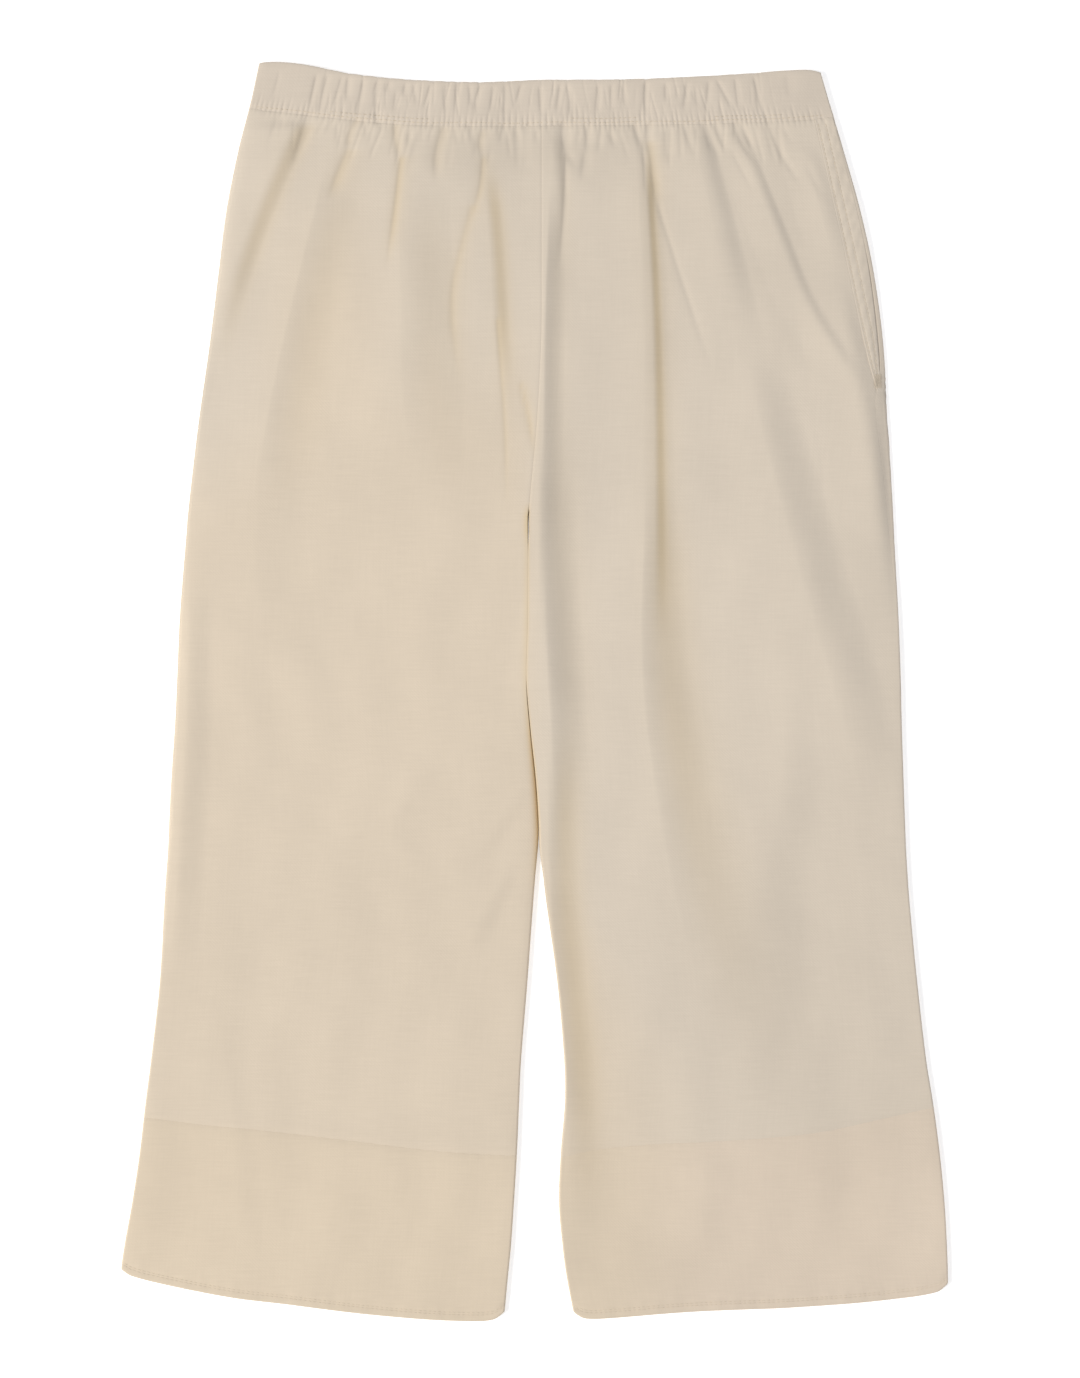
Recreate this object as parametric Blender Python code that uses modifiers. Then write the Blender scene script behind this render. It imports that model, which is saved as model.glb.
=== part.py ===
"""Wide-leg capri pants with an elastic waistband, lying flat on a table with the front up.

+Y runs up the garment to the waist, +X to the wearer's left, +Z out of the table.
The origin is under the middle of the garment, on the table. Sizes are in millimetres.
Each cloth piece is an open surface, its underside, thickened upwards by a Solidify modifier.
"""
import bpy
from collections import namedtuple
from math import pi, sin

MM = 0.001

# ---- driving sizes -----------------------------------------------------------------------------
CLOTH = 1.2             # wall of a single layer of cloth
BAND_CLOTH = 1.8        # wall of a hem band, which is doubled
CASING_CLOTH = 2.4      # wall of the waistband: doubled cloth over elastic
POCKET_CLOTH = 1.0      # wall of the turned pocket edge
SEAM_GAP = 0.3          # clearance between two pieces at a seam
CURVE_GAP = 0.5         # the same along the waist seam, where unlike facets follow one curve
ALLOWANCE = 3.0         # level strip along every seam
SEAM_TURN = 0.8         # how far a back piece turns up at its side seam and inseam
ROLL = 6.0              # width over which it turns up
WAIST_Y = 370.0         # waist seam, at the centre front
CROTCH_Y = 116.0        # where the centre seam ends and the inseams start
BAND_Y = -288.0         # top of the hem bands, nominal
HEM_Y = -400.0          # hem, nominal
PANEL_RISE = 2.0        # lift of the front panels where they run into the waistband
RISE_RUN = 34.0         # length over which the folds grow out of the waist seam
LINE_REACH = 150.0      # how far a curved seam still bends the rows of a panel
POCKET_WIDTH = 13.0     # topstitching to side seam
POCKET_END_Y = 205.0    # bartack at the lower end of the pocket mouth
STRIP_SHARE = 0.5       # height of the side strip's inner edge, as a share of the crown beside it
GATHER_DEPTH = 0.7      # height of the deepest gather of the waistband
GATHER_SPREAD = 0.3     # gathers vary by this share either way
GATHER_TURN = 5.0       # radians from one gather to the next, in the wave that varies them
CROWN_FULLNESS = 0.5    # below 1 the waistband's front half is full almost to its sides
CASING_LOFT = 1.2       # how far the waistband's front half stands off its back half
CASING_ROLL = 0.7       # drop of the casing's folded top edge
POCKET_LIFT = 0.15      # allows for the slope of the front under the pocket edge

PANEL_LENGTH = WAIST_Y - BAND_Y
FRONT_Z = CLOTH + SEAM_TURN + SEAM_GAP              # underside of the fronts along a side seam
BAND_FRONT_Z = BAND_CLOTH + SEAM_TURN + SEAM_GAP    # the same of the hem bands' front halves

# ---- mesh columns and rows -----------------------------------------------------------------------
PANEL_ROWS = 20
ROW_CROWDING = 1.25     # crowds the rows towards the waist, where the folds change most
BAND_ROWS = 3
COLUMNS_PER_FOLD = 2    # from each crest or trough of a front to the next
STRIP_FOLDS = 3         # knots from a front's last fold to its side seam
BACK_COLUMNS = 14
EDGE_COLUMNS = 2        # those of a back's turned-up edge, at each side
CASING_COLUMNS = 54
CASING_ROWS = 3
BACK_CASING_STEP = 3    # the waistband's back half has a column for every so many of its front half

# ---- outline: the X of the four leg edges at each height, from the hem up -------------------------
Section = namedtuple("Section", "y right_outer right_inner left_inner left_outer")
SECTIONS = (
    Section(-410, -269.0, -20.4, 26.5, 268.6),
    Section(-378, -269.0, -17.4, 20.4, 268.2),
    Section(-360, -266.8, -15.6, 18.0, 267.6),
    Section(-331, -261.6, -13.6, 15.6, 266.0),
    Section(-298, -256.6, -11.6, 16.8, 262.8),
    Section(-265, -252.8, -10.2, 19.4, 258.4),
    Section(-239, -249.4, -9.0, 19.0, 254.2),
    Section(-187, -243.6, -4.8, 14.4, 248.2),
    Section(-135, -240.6, -0.6, 8.0, 243.2),
    Section(-101, -238.3, 2.2, 4.0, 241.0),
    Section(-57, -236.2, -0.2, 1.6, 239.4),
    Section(2, -232.7, -7.0, -4.6, 237.8),
    Section(47, -230.9, -5.5, -4.0, 236.2),
    Section(CROTCH_Y, -225.5, -4.0, -4.0, 232.7),
    Section(173, -218.9, 1.0, 1.0, 229.5),
    Section(229, -211.0, 4.0, 4.0, 226.0),
    Section(274, -205.4, 4.3, 4.3, 219.9),
    Section(313, -200.4, 4.3, 4.3, 211.4),
    Section(352, -192.7, 4.3, 4.3, 200.5),
    Section(380, -185.5, 4.3, 4.3, 192.2),
    Section(408, -178.5, 4.3, 4.3, 183.8),
)

# ---- seam lines: a row for each place across, from the first side (0) to the other (1) ----------
WaistPoint = namedtuple("WaistPoint", "across seam_y top_y")
WAIST_LINE = (
    WaistPoint(0.00, 379.5, 405.5),
    WaistPoint(0.03, 377.8, 409.2),
    WaistPoint(0.09, 375.4, 408.2),
    WaistPoint(0.18, 371.5, 401.8),
    WaistPoint(0.28, 368.5, 398.0),
    WaistPoint(0.40, 367.8, 396.4),
    WaistPoint(0.50, 368.0, 397.8),
    WaistPoint(0.62, 368.3, 398.0),
    WaistPoint(0.75, 369.0, 399.6),
    WaistPoint(0.85, 370.0, 401.8),
    WaistPoint(0.96, 371.8, 404.2),
    WaistPoint(1.00, 373.2, 401.0),
)
SEAM_X = (-187.0, 192.8)        # ends of the waist seam
TOP_X = (-178.5, 184.5)         # ends of the waistband's top edge

HemPoint = namedtuple("HemPoint", "across band_y hem_y")
HEM_LINE_RIGHT = (
    HemPoint(0.00, -300.4, -401.0),
    HemPoint(0.03, -300.2, -405.9),
    HemPoint(0.10, -299.4, -406.9),
    HemPoint(0.25, -296.5, -404.9),
    HemPoint(0.40, -292.0, -401.3),
    HemPoint(0.55, -287.7, -396.5),
    HemPoint(0.70, -283.5, -392.0),
    HemPoint(0.85, -280.0, -385.0),
    HemPoint(0.97, -276.4, -377.7),
    HemPoint(1.00, -275.6, -373.3),
)
HEM_LINE_LEFT = (
    HemPoint(0.00, -301.4, -401.1),
    HemPoint(0.03, -299.8, -405.1),
    HemPoint(0.10, -296.5, -404.9),
    HemPoint(0.25, -293.0, -401.9),
    HemPoint(0.40, -291.4, -399.8),
    HemPoint(0.55, -289.0, -398.5),
    HemPoint(0.70, -285.0, -396.1),
    HemPoint(0.85, -277.2, -392.7),
    HemPoint(0.97, -270.6, -387.9),
    HemPoint(1.00, -269.5, -382.5),
)

# ---- folds: each crest and trough of a front, from the centre (0) to the side seam (1) -----------
# The x_ columns say how far across it lies at each level, the z_ columns its height there.
FOLD_LEVELS = (370.0, 252.0, 116.0, -58.0, -400.0)
HEIGHT_LEVELS = (338.0, 252.0, 116.0, -58.0, -400.0)
Fold = namedtuple("Fold", "name x_waist x_hip x_crotch x_knee x_hem z_yoke z_hip z_crotch z_knee z_hem")
FOLDS_LEFT = (
    Fold("centre ridge", 0.035, 0.030, 0.040, 0.045, 0.045, 4.4, 5.2, 4.0, 3.0, 1.6),
    Fold("centre trough", 0.080, 0.060, 0.080, 0.090, 0.080, 1.6, 1.4, 1.6, 1.8, 1.2),
    Fold("thigh crown", 0.200, 0.190, 0.210, 0.230, 0.240, 4.2, 4.6, 4.2, 3.6, 2.4),
    Fold("tuck, near lip", 0.330, 0.310, 0.325, 0.370, 0.420, 5.8, 6.6, 5.8, 4.2, 2.6),
    Fold("tuck", 0.366, 0.345, 0.365, 0.430, 0.500, -0.4, -0.6, 0.8, 2.6, 1.8),
    Fold("tuck, far lip", 0.402, 0.385, 0.410, 0.490, 0.570, 4.8, 5.6, 4.8, 3.4, 2.4),
    Fold("hip trough", 0.520, 0.580, 0.700, 0.760, 0.720, 2.4, 2.2, 2.2, 2.6, 2.0),
    Fold("hip crest", 0.600, 0.700, 0.800, 0.840, 0.820, 5.0, 5.2, 4.2, 3.2, 2.0),
    Fold("side trough", 0.680, 0.800, 0.860, 0.890, 0.880, 2.4, 2.8, 2.8, 2.4, 1.6),
    Fold("side crown", 0.820, 0.870, 0.905, 0.920, 0.920, 3.6, 3.6, 3.0, 2.0, 1.4),
)
FOLDS_RIGHT = (
    Fold("centre ridge", 0.060, 0.055, 0.050, 0.050, 0.050, 4.0, 4.6, 3.4, 2.6, 1.6),
    Fold("centre trough", 0.140, 0.125, 0.105, 0.110, 0.120, 2.0, 2.0, 2.8, 2.6, 1.8),
    Fold("thigh crest", 0.210, 0.240, 0.180, 0.220, 0.250, 5.2, 5.0, 4.4, 3.8, 2.4),
    Fold("thigh trough", 0.290, 0.370, 0.270, 0.340, 0.380, 1.8, 2.2, 3.0, 2.8, 1.8),
    Fold("thigh crown", 0.420, 0.510, 0.500, 0.500, 0.500, 4.8, 5.0, 5.0, 4.4, 2.6),
    Fold("hip crest", 0.570, 0.650, 0.670, 0.640, 0.640, 5.2, 5.6, 5.0, 4.0, 2.4),
    Fold("hip trough", 0.640, 0.730, 0.755, 0.720, 0.720, 1.8, 2.2, 2.6, 2.8, 1.8),
    Fold("side crest", 0.710, 0.800, 0.830, 0.800, 0.800, 4.6, 4.8, 4.2, 3.4, 2.0),
    Fold("side tuck", 0.810, 0.900, 0.910, 0.890, 0.880, 0.6, 1.2, 2.0, 2.0, 1.4),
    Fold("side crown", 0.900, 0.945, 0.950, 0.940, 0.940, 3.6, 3.0, 2.4, 1.8, 1.2),
)
SEAM_RIDGE = Fold("centre seam", 0, 0, 0, 0, 0, 3.0, 3.4, 0.0, 0.0, 0.0)

# ---- gathers of the waistband: a row for each zone across ----------------------------------------
GatherZone = namedtuple("GatherZone", "across depth")
GATHER_ZONES = (
    GatherZone(0.00, 0.0),
    GatherZone(0.14, 0.1),
    GatherZone(0.20, 1.0),
    GatherZone(0.50, 0.8),
    GatherZone(0.84, 1.0),
    GatherZone(0.92, 0.1),
    GatherZone(1.00, 0.0),
)

COLOURS = {
    "panel": (0.716, 0.625, 0.509, 1.0),
    "band": (0.753, 0.664, 0.546, 1.0),
    "casing": (0.708, 0.617, 0.498, 1.0),
    "pocket": (0.731, 0.638, 0.516, 1.0),
}
CLOTH_ROUGHNESS = 0.9

COLLECTION_NAME = "capri_pants"


# ---- curves and tables -------------------------------------------------------------------------
def clamp(value, low, high):
    return max(low, min(high, value))


def along(knots, values, place):
    """The value at a place on the smooth curve through all the knots, which rise."""
    place = clamp(place, knots[0], knots[-1])
    last = len(knots) - 1
    i = max(k for k in range(last) if knots[k] <= place)
    span = knots[i + 1] - knots[i]

    def slope(k):
        before = max(k - 1, 0)
        after = min(k + 1, last)
        return (values[after] - values[before]) / (knots[after] - knots[before])

    t = (place - knots[i]) / span
    rise = values[i + 1] - values[i]
    start = slope(i) * span
    end = slope(i + 1) * span
    return values[i] + start * t + (3 * rise - 2 * start - end) * t ** 2 + (start + end - 2 * rise) * t ** 3


def column(table, name):
    return [getattr(row, name) for row in table]


def edge_x(name, y):
    """X of one of the four leg edges at a height on the garment."""
    return along(column(SECTIONS, "y"), column(SECTIONS, name), y)


def seam_line_y(x):
    """Y of the waist seam."""
    across = (x - SEAM_X[0]) / (SEAM_X[1] - SEAM_X[0])
    return along(column(WAIST_LINE, "across"), column(WAIST_LINE, "seam_y"), across)


def at_level(levels, values, y):
    """A fold's column at a height, from its values at the levels, which fall."""
    return along(levels[::-1], values[::-1], y)


def fold_place(fold, y):
    values = (fold.x_waist, fold.x_hip, fold.x_crotch, fold.x_knee, fold.x_hem)
    return at_level(FOLD_LEVELS, values, y)


def fold_height(fold, y):
    """Height of a crest or trough, which grows out of the level waist seam."""
    values = (fold.z_yoke, fold.z_hip, fold.z_crotch, fold.z_knee, fold.z_hem)
    grown = ease((WAIST_Y - ALLOWANCE - y) / RISE_RUN)
    return PANEL_RISE + (at_level(HEIGHT_LEVELS, values, y) - PANEL_RISE) * grown


def ease(t):
    """From 0 to 1 with level ends."""
    t = clamp(t, 0.0, 1.0)
    return t * t * (3 - 2 * t)


# ---- mesh --------------------------------------------------------------------------------------
def sheet(name, columns, rows, point, thickness, colour):
    """A sheet of cloth: a grid of columns by rows, each of its points put in its place."""
    bpy.ops.mesh.primitive_grid_add(x_subdivisions=columns, y_subdivisions=rows, size=2)
    piece = bpy.context.active_object
    piece.name = name
    piece.data.name = name
    for vertex in piece.data.vertices:
        i = round((vertex.co.x + 1) / 2 * columns)
        j = round((1 - vertex.co.y) / 2 * rows)
        vertex.co = [MM * value for value in point(i, j)]
    wall = piece.modifiers.new("wall", "SOLIDIFY")
    wall.thickness = thickness * MM
    wall.offset = 1.0
    wall.use_even_offset = True
    piece.data.materials.append(cloth_material(colour))
    piece.data.shade_smooth()
    for collection in piece.users_collection:
        collection.objects.unlink(piece)
    bpy.data.collections[COLLECTION_NAME].objects.link(piece)
    return piece


def cloth_material(name):
    if name in bpy.data.materials:
        return bpy.data.materials[name]
    material = bpy.data.materials.new(name)
    material.use_nodes = True
    shader = material.node_tree.nodes["Principled BSDF"]
    shader.inputs["Base Color"].default_value = COLOURS[name]
    shader.inputs["Roughness"].default_value = CLOTH_ROUGHNESS
    shader.inputs["Metallic"].default_value = 0.0
    return material


# ---- legs --------------------------------------------------------------------------------------
class Leg:
    """One leg, from the centre line or inseam to the side seam, in sections down to the hem."""

    def __init__(self, side, direction, folds, hem_line, pocket_width):
        self.side = side
        self.direction = direction          # +1 towards the wearer's left
        self.folds = folds
        self.hem_line = hem_line
        self.side_strip = max(pocket_width, ROLL)   # strip that slopes down to the side seam

    def edges(self, y_inner, y_outer):
        """X of the inner and the outer edge, clear of the neighbours at a seam."""
        inner = edge_x(self.side + "_inner", y_inner) + self.direction * SEAM_GAP / 2
        return inner, edge_x(self.side + "_outer", y_outer)

    def line_y(self, name, across):
        return along(column(self.hem_line, "across"), column(self.hem_line, name), across)

    def panel_y(self, nominal, across):
        """Y of a point of the leg above its hem band: the rows bend with the seams at both ends."""
        inner, outer = self.edges(nominal, nominal)
        x = inner + (outer - inner) * across
        near_waist = clamp(1 - (WAIST_Y - nominal) / LINE_REACH, 0, 1) ** 2
        near_band = clamp(1 - (nominal - BAND_Y) / LINE_REACH, 0, 1) ** 2
        waist_bend = seam_line_y(x) - WAIST_Y - CURVE_GAP / 2
        band_bend = self.line_y("band_y", across) - BAND_Y + SEAM_GAP / 2
        return nominal + near_waist * waist_bend + near_band * band_bend

    def band_y(self, down, across):
        """Y of a point of the hem band, from its top (0) to the hem (1)."""
        top = self.line_y("band_y", across) - SEAM_GAP / 2
        return top + (self.line_y("hem_y", across) - top) * down

    def x_at(self, across, y_of):
        """X of a point, where y_of gives the Y of its row at any place across."""
        inner, outer = self.edges(y_of(0), y_of(1))
        return inner + (outer - inner) * across

    def width(self, y):
        inner, outer = self.edges(y, y)
        return abs(outer - inner)

    def knots(self, y):
        """Places across of the seams, the allowances, every fold and the side strip, at a height."""
        allowance = ALLOWANCE / self.width(y)
        folds = [fold_place(fold, y) for fold in self.folds]
        strip = 1 - self.side_strip / self.width(y)
        return [0, allowance] + folds + [max(strip, folds[-1] + 0.01), 1 - allowance, 1]

    def heights(self, y):
        """Heights at those places: the edges of a leg lie low, its crests high."""
        centre = fold_height(SEAM_RIDGE, y) if y > CROTCH_Y else 0.0
        folds = [fold_height(fold, y) for fold in self.folds]
        return [centre, centre] + folds + [folds[-1] * STRIP_SHARE, 0, 0]

    def front_columns(self):
        return (len(self.folds) + 1 + STRIP_FOLDS) * COLUMNS_PER_FOLD

    def front_place(self, i, y):
        """Place across and height of a mesh column of the front, at a height on the garment."""
        places = self.knots(y)
        heights = self.heights(y)
        k = min(i // COLUMNS_PER_FOLD, len(places) - 2)
        t = i / COLUMNS_PER_FOLD - k
        across = places[k] + (places[k + 1] - places[k]) * t
        return across, heights[k] + (heights[k + 1] - heights[k]) * ease(t)

    def back_place(self, i, y):
        """Place across and height of a mesh column of the back, flat but for its turned-up edges."""
        width = self.width(y)
        inner_turn = 0.0 if y > CROTCH_Y else SEAM_TURN
        edge = (0, ALLOWANCE / width, ROLL / width)
        if i <= EDGE_COLUMNS:
            return edge[i], (inner_turn, inner_turn, 0)[i]
        if i >= BACK_COLUMNS - EDGE_COLUMNS:
            j = BACK_COLUMNS - i
            return 1 - edge[j], (SEAM_TURN, SEAM_TURN, 0)[j]
        inside = BACK_COLUMNS - 2 * EDGE_COLUMNS
        return (i - EDGE_COLUMNS) / inside * (1 - 2 * edge[-1]) + edge[-1], 0


def panel_row_y(j):
    """Nominal Y of a row of a leg panel. The first and the last rows are a seam allowance apart."""
    if j == 0:
        return WAIST_Y
    if j == PANEL_ROWS:
        return BAND_Y
    inside = PANEL_LENGTH - 2 * ALLOWANCE
    return WAIST_Y - ALLOWANCE - inside * ((j - 1) / (PANEL_ROWS - 2)) ** ROW_CROWDING


def level_y(nominal):
    """The height at which a row's folds are read, so that a seam allowance stays level."""
    return clamp(nominal, BAND_Y + ALLOWANCE, WAIST_Y - ALLOWANCE)


def front_point(leg, i, j):
    nominal = panel_row_y(j)
    across, height = leg.front_place(i, level_y(nominal))
    y = leg.panel_y(nominal, across)
    return leg.x_at(across, lambda a: leg.panel_y(nominal, a)), y, FRONT_Z + height


def back_point(leg, i, j):
    nominal = panel_row_y(j)
    across, height = leg.back_place(i, level_y(nominal))
    y = leg.panel_y(nominal, across)
    return leg.x_at(across, lambda a: leg.panel_y(nominal, a)), y, height


def band_point(leg, place, base, i, j):
    down = j / BAND_ROWS
    across, height = place(i, BAND_Y + ALLOWANCE + (HEM_Y - BAND_Y) * down)
    y = leg.band_y(down, across)
    return leg.x_at(across, lambda a: leg.band_y(down, a)), y, base + height


def make_leg(leg):
    fronts = leg.front_columns()
    sheet("front_" + leg.side, fronts, PANEL_ROWS, lambda i, j: front_point(leg, ordered(leg, i, fronts), j),
          CLOTH, "panel")
    sheet("back_" + leg.side, BACK_COLUMNS, PANEL_ROWS,
          lambda i, j: back_point(leg, ordered(leg, i, BACK_COLUMNS), j), CLOTH, "panel")
    sheet("hem_band_front_" + leg.side, fronts, BAND_ROWS,
          lambda i, j: band_point(leg, leg.front_place, BAND_FRONT_Z, ordered(leg, i, fronts), j),
          BAND_CLOTH, "band")
    sheet("hem_band_back_" + leg.side, BACK_COLUMNS, BAND_ROWS,
          lambda i, j: band_point(leg, leg.back_place, 0, ordered(leg, i, BACK_COLUMNS), j),
          BAND_CLOTH, "band")


def ordered(leg, i, columns):
    """Columns count from the centre outwards, so a leg on the wearer's right counts them backwards."""
    return i if leg.direction > 0 else columns - i


# ---- pocket edge -------------------------------------------------------------------------------
def make_pocket_edge(leg):
    """The turned edge of the pocket mouth lies on the front, from its stitching to the side seam."""
    columns = (STRIP_FOLDS - 1) * COLUMNS_PER_FOLD
    first = leg.front_columns() - STRIP_FOLDS * COLUMNS_PER_FOLD
    rows = sum(1 for j in range(1, PANEL_ROWS) if panel_row_y(j) > POCKET_END_Y)
    lift = CLOTH + SEAM_GAP + POCKET_LIFT

    def point(i, j):
        x, y, z = front_point(leg, first + i, j)
        return x, y, z + lift

    sheet("pocket_edge_" + leg.side, columns, rows, point, POCKET_CLOTH, "pocket")


# ---- waistband ---------------------------------------------------------------------------------
def casing_point(base, loft, i, j):
    """A point of one half of the waistband, which is gathered across and rounded at its top edge."""
    across = i / CASING_COLUMNS
    up = 1 - j / CASING_ROWS
    seam_y = along(column(WAIST_LINE, "across"), column(WAIST_LINE, "seam_y"), across) + CURVE_GAP / 2
    top_y = along(column(WAIST_LINE, "across"), column(WAIST_LINE, "top_y"), across)
    bottom_x = SEAM_X[0] + (SEAM_X[1] - SEAM_X[0]) * across
    top_x = TOP_X[0] + (TOP_X[1] - TOP_X[0]) * across
    depth = along(column(GATHER_ZONES, "across"), column(GATHER_ZONES, "depth"), across)
    unevenness = 1 - GATHER_SPREAD * (1 - sin(GATHER_TURN * i))
    gather = GATHER_DEPTH * depth * (i % 2) * unevenness
    crown = loft * sin(pi * across) ** CROWN_FULLNESS
    roll = CASING_ROLL if j == 0 else 0.0
    height = base + crown + (gather - roll if loft else 0.0)
    return bottom_x + (top_x - bottom_x) * up, seam_y + (top_y - seam_y) * up, height


def make_waistband():
    sheet("waistband_front", CASING_COLUMNS, CASING_ROWS,
          lambda i, j: casing_point(CASING_CLOTH + SEAM_GAP + CASING_ROLL, CASING_LOFT, i, j),
          CASING_CLOTH, "casing")
    sheet("waistband_back", CASING_COLUMNS // BACK_CASING_STEP, CASING_ROWS,
          lambda i, j: casing_point(0.0, 0.0, BACK_CASING_STEP * i, j), CASING_CLOTH, "casing")


# ---- the garment -------------------------------------------------------------------------------
def clear_scene():
    for thing in list(bpy.data.objects):
        bpy.data.objects.remove(thing, do_unlink=True)
    collection = bpy.data.collections.new(COLLECTION_NAME)
    bpy.context.scene.collection.children.link(collection)


def make_pants():
    clear_scene()
    right = Leg("right", -1, FOLDS_RIGHT, HEM_LINE_RIGHT, 0.0)
    left = Leg("left", 1, FOLDS_LEFT, HEM_LINE_LEFT, POCKET_WIDTH)
    make_leg(right)
    make_leg(left)
    make_pocket_edge(left)
    make_waistband()


make_pants()
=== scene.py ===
import math
import random
from collections import namedtuple

import bpy
import numpy as np
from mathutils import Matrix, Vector


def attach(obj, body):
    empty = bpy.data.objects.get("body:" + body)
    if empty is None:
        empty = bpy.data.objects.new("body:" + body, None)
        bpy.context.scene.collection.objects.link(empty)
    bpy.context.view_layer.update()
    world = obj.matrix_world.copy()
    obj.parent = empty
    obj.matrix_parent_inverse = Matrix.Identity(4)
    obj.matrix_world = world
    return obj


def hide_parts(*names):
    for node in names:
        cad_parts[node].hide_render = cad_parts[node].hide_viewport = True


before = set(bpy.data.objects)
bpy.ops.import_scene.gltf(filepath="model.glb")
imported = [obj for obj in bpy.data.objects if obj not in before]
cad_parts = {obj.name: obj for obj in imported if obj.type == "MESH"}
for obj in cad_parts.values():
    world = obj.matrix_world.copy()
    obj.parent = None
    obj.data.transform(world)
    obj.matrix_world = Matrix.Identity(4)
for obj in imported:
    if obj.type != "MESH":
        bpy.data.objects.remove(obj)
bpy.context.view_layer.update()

# ==== Fronts ==========================================================
# The two fronts are single layers of washed cream cotton, joined to each other at the centre
# seam, to the backs at side seam and inseam, and gathered into the waistband along their top.
# They lie on the backs in soft folds that run down from the gathers.

MM = 0.001
CLOTH = 0.7              # wall of one layer, mm
SEAM_GAP = 0.12          # half the fine gap that shows between two pieces at a seam
BAND_GAP = 0.05          # the same over a hem band
ROLL = 0.9               # radius of the rolled edge at a side seam or inseam, seen from above
EDGE_FALL = 0.35         # how much lower the face lies just inside a rolled edge
INSEAM_FALL = 1.1        # the same at the right inseam, where the legs part
POCKET_FALL = 2.2        # the same at the left side, round the pocket
EDGE_MIDDLE = 1.9        # height of the seam on a rolled edge
PRESSED_FALL = 0.2       # how far it lies below the face where the legs press on each other
PRESSED_Y = (-34, 110)   # where they do
LOWEST_FACE = 2.3        # a front's face can sink no lower than the back under it
WAIST_Y = 370.0
CROTCH_Y = 116.0
BAND_Y = -288.0
LINE_REACH = 150.0       # how far a curved seam still bends the rows of a panel

# Outline of the legs: X of the four edges at each height
Section = namedtuple("Section", "y right_outer right_inner left_inner left_outer")
SECTIONS = [Section(*row) for row in (
    (-410, -269, -20.4, 26.5, 268.6),
    (-378, -269, -17.4, 20.4, 268.2),
    (-360, -266.8, -15.6, 18, 267.6),
    (-331, -261.6, -13.6, 15.6, 266),
    (-298, -256.6, -11.6, 16.8, 262.8),
    (-265, -252.8, -10.2, 19.4, 258.4),
    (-239, -249.4, -9, 19, 254.2),
    (-187, -243.6, -4.8, 14.4, 248.2),
    (-135, -240.6, -1, 7.2, 243.2),
    (-116, -239.3, 0.5, 5, 241.9),
    (-101, -238.3, 1.9, 3, 241),
    (-88, -237.7, 2.5, 2.6, 240.5),
    (-57, -236.2, 0.6, 0.6, 239.4),
    (-20, -233.8, -3.35, -3.35, 238.2),
    (8, -232.5, -5.45, -5.45, 237.6),
    (47, -230.9, -4.6, -4.6, 236.2),
    (85, -228, -4.3, -4.3, 234.2),
    (104, -226.4, -4.35, -3.9, 233.2),
    (CROTCH_Y, -225.5, -4.2, -4, 232.7),
    (173, -218.9, 1, 1, 229.5),
    (229, -211, 4, 4, 226),
    (274, -205.4, 4.3, 4.3, 219.9),
    (313, -200.4, 4.3, 4.3, 211.4),
    (352, -192.7, 4.3, 4.3, 200.5),
    (380, -185.5, 4.3, 4.3, 192.2),
    (408, -178.5, 4.3, 4.3, 183),
)]

# The waist seam and the top of the waistband, from side to side
WaistPoint = namedtuple("WaistPoint", "across seam_y top_y")
WAIST_LINE = [WaistPoint(*row) for row in (
    (0, 379.5, 405.5),
    (0.03, 377.8, 409.2),
    (0.09, 375.4, 408.2),
    (0.18, 371.5, 401.8),
    (0.28, 368.5, 398),
    (0.4, 367.8, 396.4),
    (0.5, 368, 397.8),
    (0.62, 368.3, 398),
    (0.75, 369, 399.6),
    (0.85, 370, 401.8),
    (0.96, 371.8, 404.2),
    (1, 373.2, 400.2),
)]
SEAM_X = (-187.0, 192.8)

# Y of the top of each hem band and of its hem, from the inseam (0) to the side seam (1)
HemPoint = namedtuple("HemPoint", "across right_band right_hem left_band left_hem")
HEM_LINES = [HemPoint(*row) for row in (
    (0, -300.4, -401, -301.4, -401.1),
    (0.03, -300.2, -405.9, -299.8, -405.1),
    (0.1, -299.4, -406.9, -296.5, -404.9),
    (0.25, -296.5, -404.9, -293, -401.9),
    (0.4, -292, -401.3, -291.4, -399.8),
    (0.55, -287.7, -396.5, -289, -398.5),
    (0.7, -283.5, -392, -285, -396.1),
    (0.85, -280, -385, -277.2, -392.7),
    (0.97, -276.4, -377.7, -270.6, -387.9),
    (1, -275.6, -373.3, -269.5, -382.5),
)]

# How high the cloth lies away from its folds
Loft = namedtuple("Loft", "y height")
LOFTS = [Loft(*row) for row in (
    (-410, 4.4),
    (-290, 4.5),
    (-60, 4.7),
    (116, 5),
    (300, 5.2),
    (365, 5),
    (410, 5.2),
)]

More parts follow.
